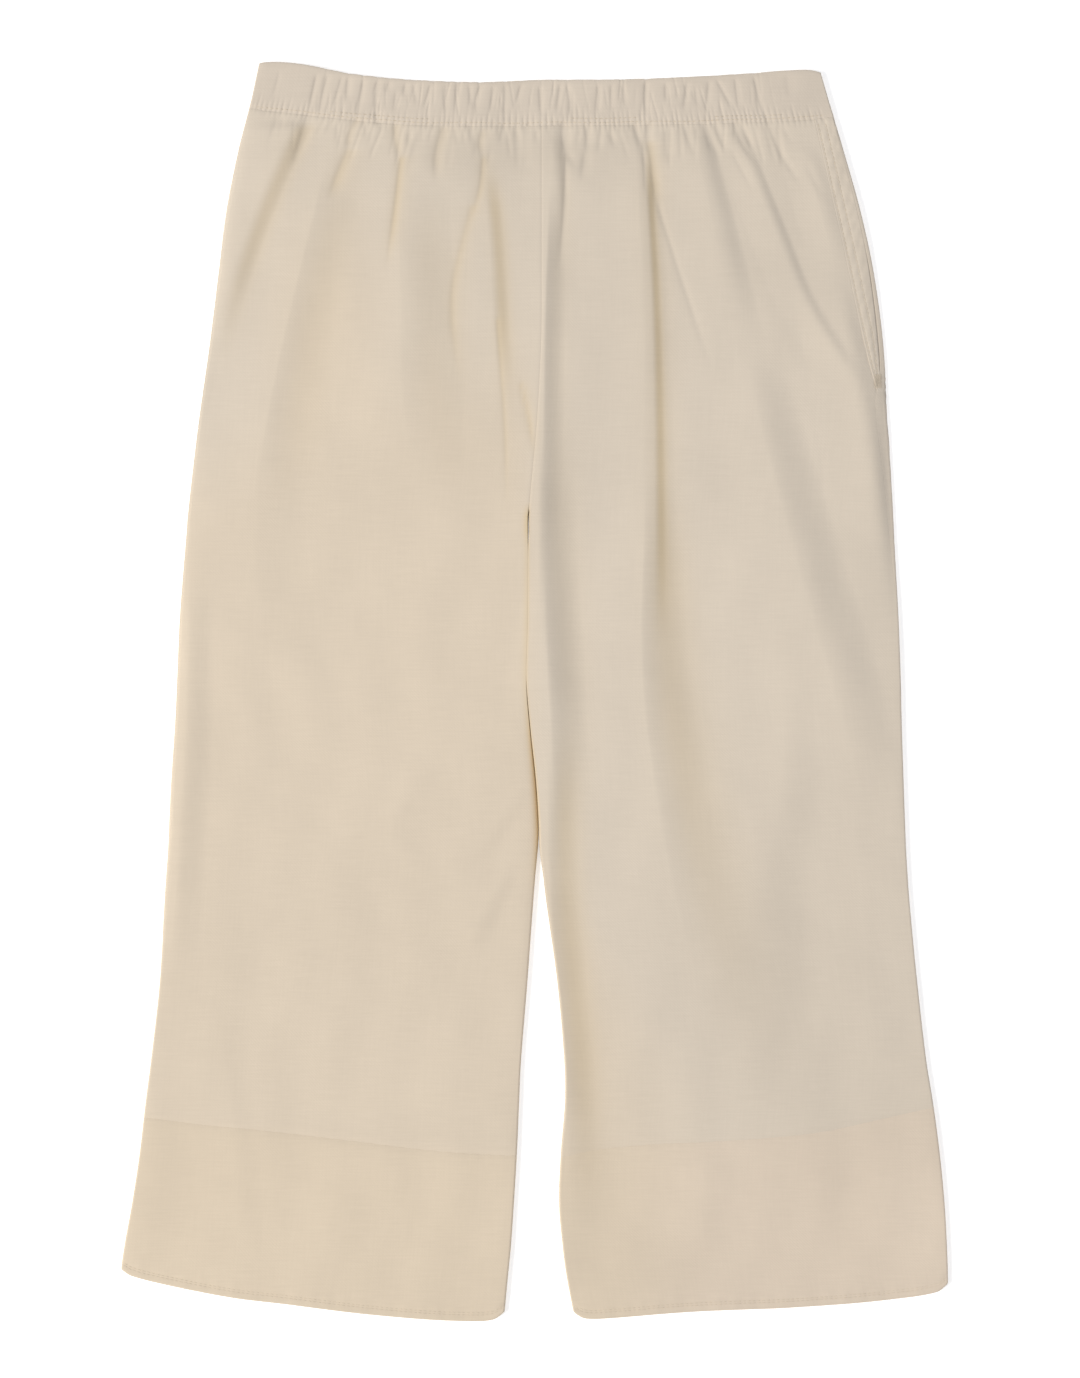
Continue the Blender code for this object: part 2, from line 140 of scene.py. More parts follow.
# Each fold is a crest that runs from y_top down to y_low, through four X at even steps. Its left
# and right flanks have their own widths, which grow by spread on the way down, and it grows and
# fades over the last lengths of its ends. The right flank is steepest near the crest where bend is
# under 1, and near its foot where it is over 1. warm is the share of painted warm shade laid along its
# shaded right flank.
Fold = namedtuple(
    "Fold", "name y_top y_low x_1 x_2 x_3 x_4 left right spread height grow fade bend warm",
    defaults=(1.4, 0.0))
FOLDS = [Fold(*row) for row in (
    ("centre ridge, top", 368, 286, 11, 13.6, 14.6, 11, 20, 6, 1.3, 1.5, 20, 50, 0.9, 0.05),
    ("centre ridge", 356, 60, 11, 6.8, 5.4, 3.6, 50, 13, 1.1, 3.5, 80, 150, 0.72, 0.06),
    ("centre ridge, thigh", 200, -110, 2, 3.2, 9.5, 13.5, 180, 25, 1, 6.5, 100, 130, 0.75, 0.1),
    ("inner edge, left leg", -10, -350, 9, 9.5, 18.5, 24, 90, 19, 1.1, 3.4, 80, 120, 0.75, 0.3),
    ("tuck", 364, 20, 65, 69.7, 70.2, 68.4, 60, 14, 1.8, 2.1, 50, 110, 1, 0.12),
    ("tuck, core", 364, 20, 69.5, 75.4, 77.2, 76.5, 60, 5, 1.8, 1.15, 50, 110, 1, 0.45),
    ("tuck, thigh", 140, -260, 72, 70, 90, 124, 60, 22, 2.5, 5, 80, 260, 0.8, 0.25),
    ("hip ridge", 368, 190, 101, 114.5, 126, 136, 30, 12, 1.9, 2.1, 14, 110),
    ("hip ridge, thigh", 235, -95, 131, 159, 190, 219, 90, 27, 1.4, 4.2, 70, 120, 1),
    ("pocket ridge", 366, 192, 129, 152.5, 176.5, 214, 18, 8, 1.1, 1.4, 12, 36),
    ("side ridge", 280, 85, 191, 205, 215.5, 220, 30, 12, 1, 2, 60, 60),
    ("side ridge, top", 360, 262, 171, 181, 190, 199, 17, 12, 1, 1.3, 20, 50),
    ("right side tuck", 372, 205, -156, -180.5, -200, -212, 60, 14, 1, 2.6, 8, 100, 1.2, 0.3),
    ("right hip ridge", 352, 110, -133, -153, -171, -184, 30, 26, 1.5, 2.6, 50, 80, 0.75, 0.1),
    ("right hip ridge, thigh", 190, -40, -174, -182, -174, -140, 90, 34, 1.1, 1.7, 80, 90, 1),
    ("right thigh ridge", 335, 112, -88, -87, -85, -70, 42, 34, 1.2, 2.4, 60, 100, 1, 0.1),
    ("right centre ridge", 345, 178, -35, -29.5, -26.5, -22, 24, 10, 1.1, 1.6, 34, 70, 1.1, 0.4),
    ("right side seam ridge", 75, -200, -224, -226, -231, -236, 30, 16, 1.2, 1.6, 40, 90, 0.9),
    ("thigh diagonal", -40, -92, -66, -77, -90, -95, 16, 12, 1, 0.35, 18, 20),
    ("thigh diagonal, low", -86, -128, -95, -88, -76, -60, 12, 14, 1, 0.3, 14, 20),
    ("inseam diagonal", -62, -112, -8, -19, -31, -44, 30, 10, 1, 0.8, 12, 22, 0.9),
    ("inseam diagonal, low", -108, -176, -14, -27, -38, -48, 30, 12, 1.1, 1, 14, 30, 0.9),
    ("knee ridge", 10, -240, 163, 158, 135, 128, 60, 16, 3.6, 1.5, 60, 90, 0.9),
    ("knee ridge, inner", -50, -130, 128, 140, 142, 144, 26, 20, 1, 0.6, 30, 40, 0.9),
    ("shin ridge, right", -200, -370, -206, -200, -193, -190, 40, 18, 1, 0.8, 50, 30, 0.9),
    ("thigh ridge, inner", -20, -120, -80, -84, -92, -96, 40, 24, 1, 0.6, 40, 40, 0.9),
    ("cuff ridge, left", -296, -372, 112, 110, 108, 106, 30, 34, 1, 0.9, 14, 30, 0.9),
    ("cuff ridge, side", -284, -372, 236, 232, 228, 226, 30, 30, 1, 0.7, 14, 28),
    ("cuff inner ridge, left", -280, -395, 8, 6, 6, 12, 20, 36, 1.2, 0.9, 30, 20, 0.8),
    ("left shin ridge", -60, -260, 205, 212, 216, 220, 40, 30, 1, 0.8, 50, 60, 0.9),
)]

# Sharp narrow creases, where cloth is caught by the waist stitching: three X from top to bottom. warm is
# the share of painted warm shade laid in a crease's hollow.
Crease = namedtuple("Crease", "y_top y_low x_top x_middle x_low width depth warm", defaults=(0.0,))
CAUGHT_CREASES = [Crease(*row) for row in (
    (377, 356, -167, -170, -173.5, 1.6, 0.35),
    (378, 340, -147.5, -153, -158.5, 2, 0.95),
    (373, 363, -130.5, -134, -137.5, 1.3, 0.5),
    (374, 348, -116, -121.5, -122, 1.6, 0.8, 0.3),
    (354, 318, -121.5, -129, -135.5, 2.4, 0.9, 0.6),
    (373, 359, -112, -110.5, -111.5, 1.2, 0.5),
    (379, 366, -103.5, -103.5, -102.5, 1.1, 0.7),
    (371, 343, -92, -91, -87.5, 1.5, 0.75, 0.4),
    (350, 272, -87.5, -92, -97.5, 1.5, 0.55, 0.8),
    (366, 355, -82.6, -82.6, -82.8, 1.1, 0.5),
    (366, 332, -74.5, -81, -84.8, 2.4, 0.4),
    (369, 330, -60, -65, -65, 1.9, 1, 0.3),
    (369, 354, -53.5, -52, -50.5, 1.3, 0.4),
    (371, 355, -44, -42.5, -41.5, 1.3, 0.5),
    (367, 346, -34, -36.5, -34.8, 1.4, 0.9, 0.3),
    (350, 304, -34.3, -36.5, -43.5, 1.4, 0.5, 0.6),
    (318, 192, -41.5, -55, -48, 1.8, 0.28, 0.5),
    (352, 342, -29.5, -30.5, -32, 1.2, 0.4),
    (245, 110, -25.5, -20.5, -18.5, 0.9, 0.22, 0.5),
    (202, 150, -10.5, -4.5, -1, 1.1, 0.3, 0.7),
    (371, 356, -21, -22, -24, 1.3, 0.6),
    (370, 338, -14, -13, -12, 2, 0.45),
    (372, 361, -5, -5.5, -7.5, 1.2, 0.5),
    (372, 349, 17, 17.6, 19.5, 1.7, 1.3),
    (353, 341, 19, 21.5, 25, 1.6, 0.7),
    (352, 262, 19.6, 17.6, 13.6, 1.2, 0.45),
    (370, 348, 32.2, 33, 32, 1.5, 0.7),
    (352, 332, 31.8, 30.6, 28.5, 2, 0.9),
    (366, 353, 46, 49, 52, 1.6, 0.5),
    (371, 352, 62.8, 66, 70, 1.4, 1),
    (360, 318, 69.4, 70.4, 71.2, 0.9, 0.35),
    (371, 350, 73.3, 72.2, 74, 1.4, 1.2),
    (360, 310, 73, 75.8, 78.5, 1.8, 0.9, 0.5),
    (318, 202, 78.5, 97, 117, 1.1, 0.36),
    (368, 342, 83.8, 84, 84.6, 2, 0.6),
    (371, 345, 94.2, 99, 103, 1.5, 0.55),
    (372, 348, 107.5, 111, 114.5, 1.6, 0.5),
    (371, 350, 115, 119, 124, 1.5, 0.8),
    (372, 342, 127.8, 133, 143, 1.6, 0.9),
    (371, 352, 132, 136, 140.5, 1.4, 0.7),
    (352, 324, 126.5, 134, 141.5, 1, 0.25),
    (378, 324, 147.5, 158, 175.5, 1.4, 0.55),
    (371, 356, 157, 161.5, 166.5, 1.5, 0.3),
    (345, 318, 174, 180, 189, 1.8, 0.3),
)]

# The bolder gathers of the waistband itself
BAND_CREASES = [Crease(*row) for row in (
    (404, 384, -166, -168.5, -172, 1, 0.35),
    (402, 374, -142, -145, -148, 1, 0.85),
    (402, 372, -135, -138.5, -141.5, 1.1, 0.9),
    (401, 376, -125.5, -129, -133.5, 1, 0.6),
    (401, 382, -121.5, -122.5, -123.3, 1.2, 0.9),
    (399, 372, -111.5, -114, -116.5, 1.1, 0.9),
    (399, 377, -102.3, -103.8, -105.4, 1.1, 0.8),
    (398, 388, -95, -96, -97.5, 1.1, 0.8),
    (391, 375, -90.5, -91.5, -92.5, 0.9, 0.5),
    (397, 386, -84.3, -85.2, -86, 1.1, 0.8),
    (397, 380, -79.8, -78.5, -77, 1, 0.5),
    (396, 377, -67.8, -70.5, -73.6, 1, 0.9),
    (396, 372, -58.3, -58.6, -58.8, 1, 0.65),
    (397, 374, -51, -51.8, -52.8, 1, 0.8),
    (396, 378, -43.5, -42.6, -42, 1, 0.6),
    (396, 374, -34.8, -38.8, -38.6, 1, 0.9),
    (395, 374, -27.6, -28.5, -29.4, 1, 0.6),
    (396, 370, -20, -20.2, -21, 1, 0.6),
    (396, 378, -9, -11.5, -15, 1, 0.7),
    (395, 372, 2.3, 2.8, 3.2, 1, 0.7),
    (396, 374, 16, 14.5, 13, 1.1, 0.8),
    (396, 370, 20, 22, 21.5, 1, 0.8),
    (396, 372, 41, 39.5, 39, 1, 0.7),
    (396, 374, 49, 48.8, 48.6, 1, 0.6),
    (396, 378, 56, 57, 58, 1, 0.7),
    (398, 370, 71.3, 70.9, 71.8, 1, 1.1),
    (397, 382, 84.2, 84.3, 84.2, 1.1, 0.8),
    (397, 375, 98.2, 97, 95, 1, 0.8),
    (394, 379, 103.4, 104, 104.8, 1, 0.6),
    (398, 376, 112.4, 111.4, 110.8, 1.1, 0.8),
    (399, 377, 116.5, 122.5, 128.8, 1, 0.7),
    (400, 374, 129, 130.5, 132.2, 1, 0.6),
    (401, 371, 141.2, 144.5, 148.4, 1, 0.7),
    (402, 384, 162.3, 163, 164, 2.4, 0.5),
)]

# The small gathers are drawn at random between a least and a most for each of their sizes: the step
# from one to the next, depth, width, low end over the waist seam, high end and turn. A small
# gather's high end is given over its low end. Hanging ones are short creases below the seam.
GatherKind = namedtuple("GatherKind", "pitch depth width low high turn")
SMALL = GatherKind((2.8, 5.4), (0.1, 0.34), (0.6, 1.1), (-5, 18), (8, 24), (-0.2, 0.2))
HANGING = GatherKind((3.6, 8.5), (0.15, 0.5), (1.0, 2.2), (-30, -7), (-1, 2), (-0.3, 0.3))
PUCKER_PITCH = (2.625, 4.55)    # the same for a row of fine puckers just over the seam
PUCKER_DEPTH = (0.18, 0.44)
PUCKER_REACH = (4.95, 11.0)
PUCKER_WIDTH = 0.8
GATHER_SEED = 11
GATHER_LEAN = 0.30 / 190        # gathers fan out towards the sides, by this for each mm from the centre
CAUGHT_SHARE = 1.5              # how much deeper the caught creases are than their table says
DEEPEST = 1.7                   # no gather draws the cloth down further than this
# Share of full gathering at each place across the waist: the sides are almost smooth
GatherZone = namedtuple("GatherZone", "x share")
GATHER_ZONES = [GatherZone(*row) for row in (
    (-190, 0.1),
    (-152, 0.15),
    (-140, 0.9),
    (-60, 1),
    (20, 0.85),
    (60, 1),
    (140, 0.9),
    (156, 0.25),
    (193, 0.15),
)]


def along(knots, values, place):
    """The smooth curve through all the knots, at any number of places."""
    knots = np.array(knots, float)
    values = np.array(values, float)
    slopes = np.gradient(values, knots, edge_order=1)
    slopes[1:-1] = (values[2:] - values[:-2]) / (knots[2:] - knots[:-2])
    place = np.clip(place, knots[0], knots[-1])
    i = np.clip(np.searchsorted(knots, place, side="right") - 1, 0, len(knots) - 2)
    span = knots[i + 1] - knots[i]
    t = (place - knots[i]) / span
    rise = values[i + 1] - values[i]
    start = slopes[i] * span
    end = slopes[i + 1] * span
    return values[i] + start * t + (3 * rise - 2 * start - end) * t ** 2 + (start + end - 2 * rise) * t ** 3


def read_table(table, key, name, place):
    """The value named name at any place along the column named key."""
    return along([getattr(row, key) for row in table], [getattr(row, name) for row in table], place)


def ease(t):
    """From 0 to 1 with level ends."""
    t = np.clip(t, 0.0, 1.0)
    return t * t * (3 - 2 * t)


def bell(t):
    """1 at 0, and fading on both sides."""
    return np.exp(-t ** 2)


def edge_x(name, y):
    return read_table(SECTIONS, "y", name, y)


def waist_y(name, x):
    """Y of the waist seam or of the waistband's top, over any X."""
    across = (x - SEAM_X[0]) / (SEAM_X[1] - SEAM_X[0])
    return read_table(WAIST_LINE, "across", name, across)


def legs_apart(y):
    """0 where the legs are one at the centre seam, 1 where each has an inner edge of its own."""
    return ease((CROTCH_Y + 6 - y) / 14)


def fold_frame(fold, x, y):
    """How far points lie from a fold's crest, as a share of the flank's width, and how full it is."""
    down = np.clip((fold.y_top - y) / (fold.y_top - fold.y_low), 0, 1)
    crest = along((0, 1 / 3, 2 / 3, 1), (fold.x_1, fold.x_2, fold.x_3, fold.x_4), down)
    away = x - crest
    width = np.where(away < 0, fold.left, fold.right) * (1 + (fold.spread - 1) * down)
    ends = ease((fold.y_top - y) / fold.grow) * ease((y - fold.y_low) / fold.fade)
    return away / width, ends


def fold_height(fold, x, y):
    """Height that one fold adds: it rises evenly from the left and falls faster to the right."""
    away, ends = fold_frame(fold, x, y)
    rise = np.clip(1 + away, 0, 1) ** 1.2
    fall = 1 - ease(np.clip(away, 0, 1) ** fold.bend)
    return fold.height * np.where(away < 0, rise, fall) * ends


CREASE_SHIFT = 0.7       # a crease is deepest so many widths beside its line
CREASE_FAR_SIDE = 1.9    # how many times wider it is beyond that than on the line's side
CREASE_SHARES = ((0.65, 1.0), (0.35, 2.6))   # a narrow and a wide hollow: share of depth, width
CREASE_HEAD = 4.0        # length over which it starts, mm, and share of its length over which it ends
CREASE_TAIL = 0.45


def crease_depth(crease, x, y):
    """Depth of one sharp crease, which thins out at both ends: its line runs down its steeper wall."""
    length = crease.y_top - crease.y_low
    down = np.clip((crease.y_top - y) / length, 0, 1)
    line = along((0, 0.5, 1), (crease.x_top, crease.x_middle, crease.x_low), down)
    away = (x - line) / crease.width - CREASE_SHIFT
    away = np.where(away > 0, away / CREASE_FAR_SIDE, away)
    ends = ease((crease.y_top - y) / CREASE_HEAD) * ease((y - crease.y_low) / (CREASE_TAIL * length))
    return crease.depth * ends * sum(share * bell(away / width) for share, width in CREASE_SHARES)


def make_gathers():
    """Places, depths and reaches of the small gathers of the waistband, and of the fine puckers."""
    chance = random.Random(GATHER_SEED)
    gathers = []
    x = SEAM_X[0] + 6
    while x < SEAM_X[1] - 4:
        share = float(read_table(GATHER_ZONES, "x", "share", x))
        low = chance.uniform(*SMALL.low)
        gathers.append((x, chance.uniform(*SMALL.depth) * share, chance.uniform(*SMALL.width), low,
                        low + chance.uniform(*SMALL.high), chance.uniform(*SMALL.turn)))
        x += chance.uniform(*SMALL.pitch)
    x = SEAM_X[0] + 24
    while x < SEAM_X[1] - 34:
        gathers.append((x, *(chance.uniform(*limits) for limits in HANGING[1:])))
        x += chance.uniform(*HANGING.pitch)
    puckers = []
    x = SEAM_X[0] + 4
    while x < SEAM_X[1] - 3:
        puckers.append((x, chance.uniform(*PUCKER_DEPTH), chance.uniform(*PUCKER_REACH)))
        x += chance.uniform(*PUCKER_PITCH)
    return gathers, puckers


GATHERS, PUCKERS = make_gathers()


def gather_depth(x, y):
    """Depth of gathers and puckers, on the waistband and on the cloth just below it."""
    over = y - waist_y("seam_y", x)
    total = np.zeros_like(x)
    for crease in CAUGHT_CREASES:
        total += CAUGHT_SHARE * crease_depth(crease, x, y)
    for crease in BAND_CREASES:
        total += crease_depth(crease, x, y)
    for place, depth, width, low, high, turn in GATHERS:
        away = x - place - (turn - GATHER_LEAN * place) * over
        held = ease((over - low) / 5) * ease((high - over) / 5)
        total += depth * held * bell(away / width)
    for place, depth, reach in PUCKERS:
        away = x - place + GATHER_LEAN * place * over
        held = np.where(over > 0, ease(1.3 - over / reach), ease(1 + over / 5))
        total += depth * held * bell(away / PUCKER_WIDTH)
    return DEEPEST * np.tanh(total / DEEPEST)


FOLD_WARM_SHADE = 0.55              # where a fold's painted warm shade is strongest, as a share of its right flank
FOLD_WARM_SHADE_REACH = (0.36, 0.55)    # how far that reaches to the left and to the right, in the same share
CREASE_WARM_SHADE = 0.45            # the most painted warm shade that a caught crease adds
INSEAM_WARM_SHADE_REACH = (2.8, 1.0)    # the reach of the inseam's painted warm shade on the right leg and on the left


def painted_warm_shade(x, y, facing):
    """Share of painted warm shade: along the inseam where the legs part, and on a front in the shaded
    hollows of its folds and caught creases.
    """
    beside = x - edge_x("right_inner", y)
    inseam = 0.35 + 0.3 * ease((10 - y) / 50) + 0.4 * ease((y - 96) / 10)
    reach = np.where(beside < 0, *INSEAM_WARM_SHADE_REACH)
    total = inseam * ease((124 - y) / 10) * ease((y + 135) / 40) * bell(beside / reach)
    if facing < 0:
        return total
    for fold in FOLDS:
        if fold.warm:
            away, ends = fold_frame(fold, x, y)
            away = away - FOLD_WARM_SHADE
            total += fold.warm * ends * bell(away / np.where(away < 0, *FOLD_WARM_SHADE_REACH))
    for crease in CAUGHT_CREASES:
        if crease.warm:
            total += CREASE_WARM_SHADE * crease.warm * crease_depth(crease, x, y) / crease.depth
    return np.clip(total, 0, 1)


# Broad places where the cloth is painted a little lighter or darker, as a share of its own lightness:
# mostly painted shade and light, under the waistband, over the hem bands' seams, beside folds and on slopes
# that face from the light, with some broad tone.
ShadeAndTonePatch = namedtuple("ShadeAndTonePatch", "x y reach_x reach_y share")
SHADE_AND_TONE_PATCHES = [ShadeAndTonePatch(*row) for row in (
    (-215, -190, 34, 120, -0.035),
    (-250, -335, 40, 50, -0.025),
    (-120, 195, 30, 35, 0.02),
    (-200, 140, 24, 50, -0.015),
    (-22, 300, 20, 75, -0.04),
    (-100, -287, 80, 12, -0.025),
    (-30, -345, 18, 35, 0.03),
    (-165, 352, 30, 10, -0.03),
    (-108, 326, 14, 26, 0.03),
    (196, 337, 7, 20, -0.04),
    (-45, 350, 45, 13, -0.045),
    (20, 348, 30, 13, -0.05),
    (21, 285, 7, 45, -0.035),
    (10.5, 200, 3.5, 34, -0.03),
    (100, 350, 40, 12, -0.025),
    (135, 200, 40, 28, 0.03),
    (178, 165, 14, 40, 0.04),
    (150, 272, 22, 16, -0.03),
    (135, 70, 40, 55, 0.03),
    (175, -20, 40, 45, 0.035),
    (155, -195, 50, 55, -0.045),
    (205, -295, 30, 55, -0.03),
    (250, -335, 26, 40, 0.08),
    (115, -322, 18, 22, 0.02),
    (80, -372, 40, 20, -0.03),
    (35, -330, 18, 40, -0.03),
    (235, -140, 18, 90, 0.03),
)]


def painted_shade_and_tone(x, y):
    """How much lighter the cloth is painted than on average at each place: painted shade and light, and
    some broad tone.
    """
    return sum(tone.share * np.exp(-((x - tone.x) / tone.reach_x) ** 2 - ((y - tone.y) / tone.reach_y) ** 2)
               for tone in SHADE_AND_TONE_PATCHES)


def warmth(x, y):
    """Share of the warmer cream: the right leg from the hip down, and low down on the left leg's
    inner side too."""
    low = ease((-60 - y) / 240)
    below = ease((230 - y + 0.3 * (x + 120)) / 110)
    hip = 1.1 * np.exp(-((x + 132) / 42) ** 2 - ((y - 230) / 80) ** 2)
    return np.clip(ease((-2 + 84 * low - x) / (24 + 76 * low) + 0.5) * below + hip, 0, 1)


def ripple(x, y):
    """Slight unevenness of washed cloth, from a few crossed waves of unlike lengths."""
    return (
        0.16 * np.sin(x / 11.0 + 1.3 * np.sin(y / 37.0) + 0.4)
        + 0.12 * np.sin(x / 6.3 - y / 71.0 + 1.1 * np.sin(y / 23.0))
        + 0.10 * np.sin(y / 17.0 + 1.7 * np.sin(x / 29.0))
        + 0.08 * np.sin((x + y) / 8.7 + 2.0 * np.sin(y / 19.0 - x / 43.0))
    )


# How far in from an edge each thing fades out, mm
SIDE_REACH = 3.5         # the roll of a side seam
CENTRE_REACH = 3.0       # the roll of an inseam
PARTING_REACH = 6.0      # the fall towards the right inseam
POCKET_REACH = 5.5       # the fall round the pocket
GATHER_REACH = 4.0       # the side seam's hold on gathers
SEAM_GROOVE = (0.16, 0.8)     # depth and reach of the line pressed along the centre seam
WAIST_GROOVE = (0.5, 1.5)     # the same along the waist seam
BOTTOM_SHARPNESS = 2.5   # how sharply hollows stop at the lowest face, per mm


def front_height(x, y):
    """Height of the front's face over the table, all over the garment."""
    apart = legs_apart(y)
    on_left = x > (edge_x("right_inner", y) + edge_x("left_inner", y)) / 2
    from_side = np.where(on_left, edge_x("left_outer", y) - x, x - edge_x("right_outer", y))
    from_centre = np.where(on_left, x - edge_x("left_inner", y), edge_x("right_inner", y) - x)
    from_side = np.maximum(from_side, 0)
    from_centre = np.maximum(from_centre, 0)
    side_hold = 1 - np.exp(-from_side / SIDE_REACH)
    rolls = apart * ease((10 - y) / 120)
    centre_hold = 1 - rolls * np.where(on_left, 0, np.exp(-from_centre / CENTRE_REACH))
    parts = np.where(on_left, 0, ease(-y / 60) * ease((y + 150) / 60))
    parting = parts * np.exp(-from_centre / PARTING_REACH)
    height = read_table(LOFTS, "y", "height", y)
    for fold in FOLDS:
        held = on_left if fold.name.endswith("left leg") else 1
        height += fold_height(fold, x, y) * side_hold * centre_hold * held
    height += ripple(x, y) * side_hold * centre_hold
    height -= EDGE_FALL * (1 - side_hold) + EDGE_FALL * (1 - centre_hold) + INSEAM_FALL * parting
    beside_pocket = np.where(on_left, ease((y - 20) / 110) * ease((330 - y) / 110), 0)
    height -= POCKET_FALL * beside_pocket * bell(from_side / POCKET_REACH)
    height -= gather_depth(x, y) * (1 - np.exp(-from_side / GATHER_REACH))
    depth, reach = SEAM_GROOVE
    seam_line = depth * (1 - apart) * bell(from_centre / reach)
    depth, reach = WAIST_GROOVE
    waist_line = depth * bell((y - waist_y("seam_y", x) - 0.6) / reach)
    height -= seam_line + waist_line
    return LOWEST_FACE + np.logaddexp(0, (height - LOWEST_FACE) * BOTTOM_SHARPNESS) / BOTTOM_SHARPNESS


def rolled(start, end, roll_start, roll_end, s):
    """A flattened tube's section. s runs round it from the start's outermost line, over the face and
    round the end; the result is the place across, and how far it is face (1), edge (0) or far side (-1)."""
    roll_start = np.maximum(roll_start, 1e-6)
    turn = roll_start * math.pi / 2
    level = end - start - roll_start - roll_end
    first = np.clip(s / roll_start, 0, math.pi / 2)
    last = np.clip((s - turn - level) / roll_end, 0, math.pi)
    middle = np.clip(s - turn, 0, level)
    under = np.maximum(s - turn - level - math.pi * roll_end, 0)
    place = start + roll_start * (1 - np.cos(first)) + middle + roll_end * np.sin(last) - under
    share = np.where(s < turn, np.sin(first), np.cos(last))
    return place, share


def section_height(share, face, far, middle=EDGE_MIDDLE):
    """Height at a share of the way round, between the face's height and the far side's."""
    return middle + np.where(share > 0, share * (face - middle), share * (middle - far))


def inner_roll(y):
    """Radius of the rolled inseam: pressed sharp where the legs still touch, round further down."""
    return legs_apart(y) * (0.25 + (ROLL - 0.25) * ease((0 - y) / 110))


Leg = namedtuple("Leg", "side direction")
RIGHT = Leg("right", -1)
LEFT = Leg("left", 1)


def hem_line(leg, name, across):
    """Y of a leg's hem or of the top of its band, from the inseam (0) to the side seam (1)."""
    return read_table(HEM_LINES, "across", f"{leg.side}_{name}", across)


def leg_edges(leg, y):
    """X of a leg's inner and outer edge."""
    return edge_x(leg.side + "_inner", y), edge_x(leg.side + "_outer", y)


# How far the side seam lies on the front (+) or has rolled under to the back (-)
Seam = namedtuple("Seam", "y right left")
SIDE_SEAM = [Seam(*row) for row in (
    (-260, 0, 0),
    (-100, -5, 0),
    (30, -6, 0),
    (86, -6, 3),
    (138, -6, 5.5),
    (188, -6, 8.5),
    (203, -6, 5),
    (216, -6, 3.4),
    (330, -5, 3),
    (362, -1, 2.2),
    (374, 0, 0),
)]

EDGE_STEPS = (0, 0.35, 0.8, 1.3, 1.9, 2.5, 3.1, 3.8, 4.6, 5.6, 7.0, 9.0, 11.5)


def across_steps(middle):
    """Columns of a piece: close together at its two edges and even between them, as (share, offset)."""
    edge = np.array(EDGE_STEPS)
    t = np.linspace(0, 1, middle + 2)[1:-1]
    share = np.concatenate([np.zeros(len(edge)), t, np.ones(len(edge))])
    offset = np.concatenate([edge, edge[-1] * (1 - 2 * t), -edge[::-1]])
    return share, offset


def panel_row(leg, nominal, across):
    """Y along a row of a panel, which bends with the waist seam and with the band below."""
    inner, outer = leg_edges(leg, nominal)
    x = inner + (outer - inner) * across
    near_waist = np.clip(1 - (WAIST_Y - nominal) / LINE_REACH, 0, 1) ** 2
    near_band = np.clip(1 - (nominal - BAND_Y) / LINE_REACH, 0, 1) ** 2
    band_y = hem_line(leg, "band", across)
    return (nominal + near_waist * (waist_y("seam_y", x) - WAIST_Y - SEAM_GAP)
            + near_band * (band_y - BAND_Y + BAND_GAP))


def band_row(leg, down, across):
    """Y along a row of a hem band, from its top (0) to the hem (1)."""
    top = hem_line(leg, "band", across) - BAND_GAP
    hem = hem_line(leg, "hem", across)
    return top + (hem - top) * down


def in_metres(x, y, height, flat_x):
    """Points of a piece and its flat coordinates, both in rows of columns."""
    return np.stack([x, y, height], axis=2) * MM, np.stack([flat_x, y], axis=2) * MM


def leg_grid(leg, row_y, rows, middle, turn, face, far):
    """Points and flat coordinates of one piece of a leg. turn is 1 for a front and -1 for a back;
    face and far give the heights of its own and of the opposite side."""
    share, offset = across_steps(middle)
    rows = rows[:, None]
    y_inner = row_y(leg, rows, 0.0)
    y_outer = row_y(leg, rows, 1.0)
    start = leg.direction * edge_x(leg.side + "_inner", y_inner)
    end = leg.direction * edge_x(leg.side + "_outer", y_outer)
    roll = inner_roll(y_inner)
    seam = read_table(SIDE_SEAM, "y", leg.side, y_outer)
    length = end - start - roll - ROLL + (roll + ROLL) * math.pi / 2 - turn * seam - 2 * SEAM_GAP
    s = SEAM_GAP + share * length + offset
    place, part = rolled(start, end, roll, ROLL, s)
    y = row_y(leg, rows, np.clip((place - start) / (end - start), 0, 1))
    x = leg.direction * place
    upper, lower = (face(x, y), far(x, y))[::turn]
    pressed = ease((y - PRESSED_Y[0]) / 46) * ease((PRESSED_Y[1] - y) / 12)
    pressed = pressed * (place < (start + end) / 2)
    middle = EDGE_MIDDLE + (upper - PRESSED_FALL - EDGE_MIDDLE) * pressed
    height = section_height(part * turn, upper, lower, middle)
    return in_metres(x, y, height, s)


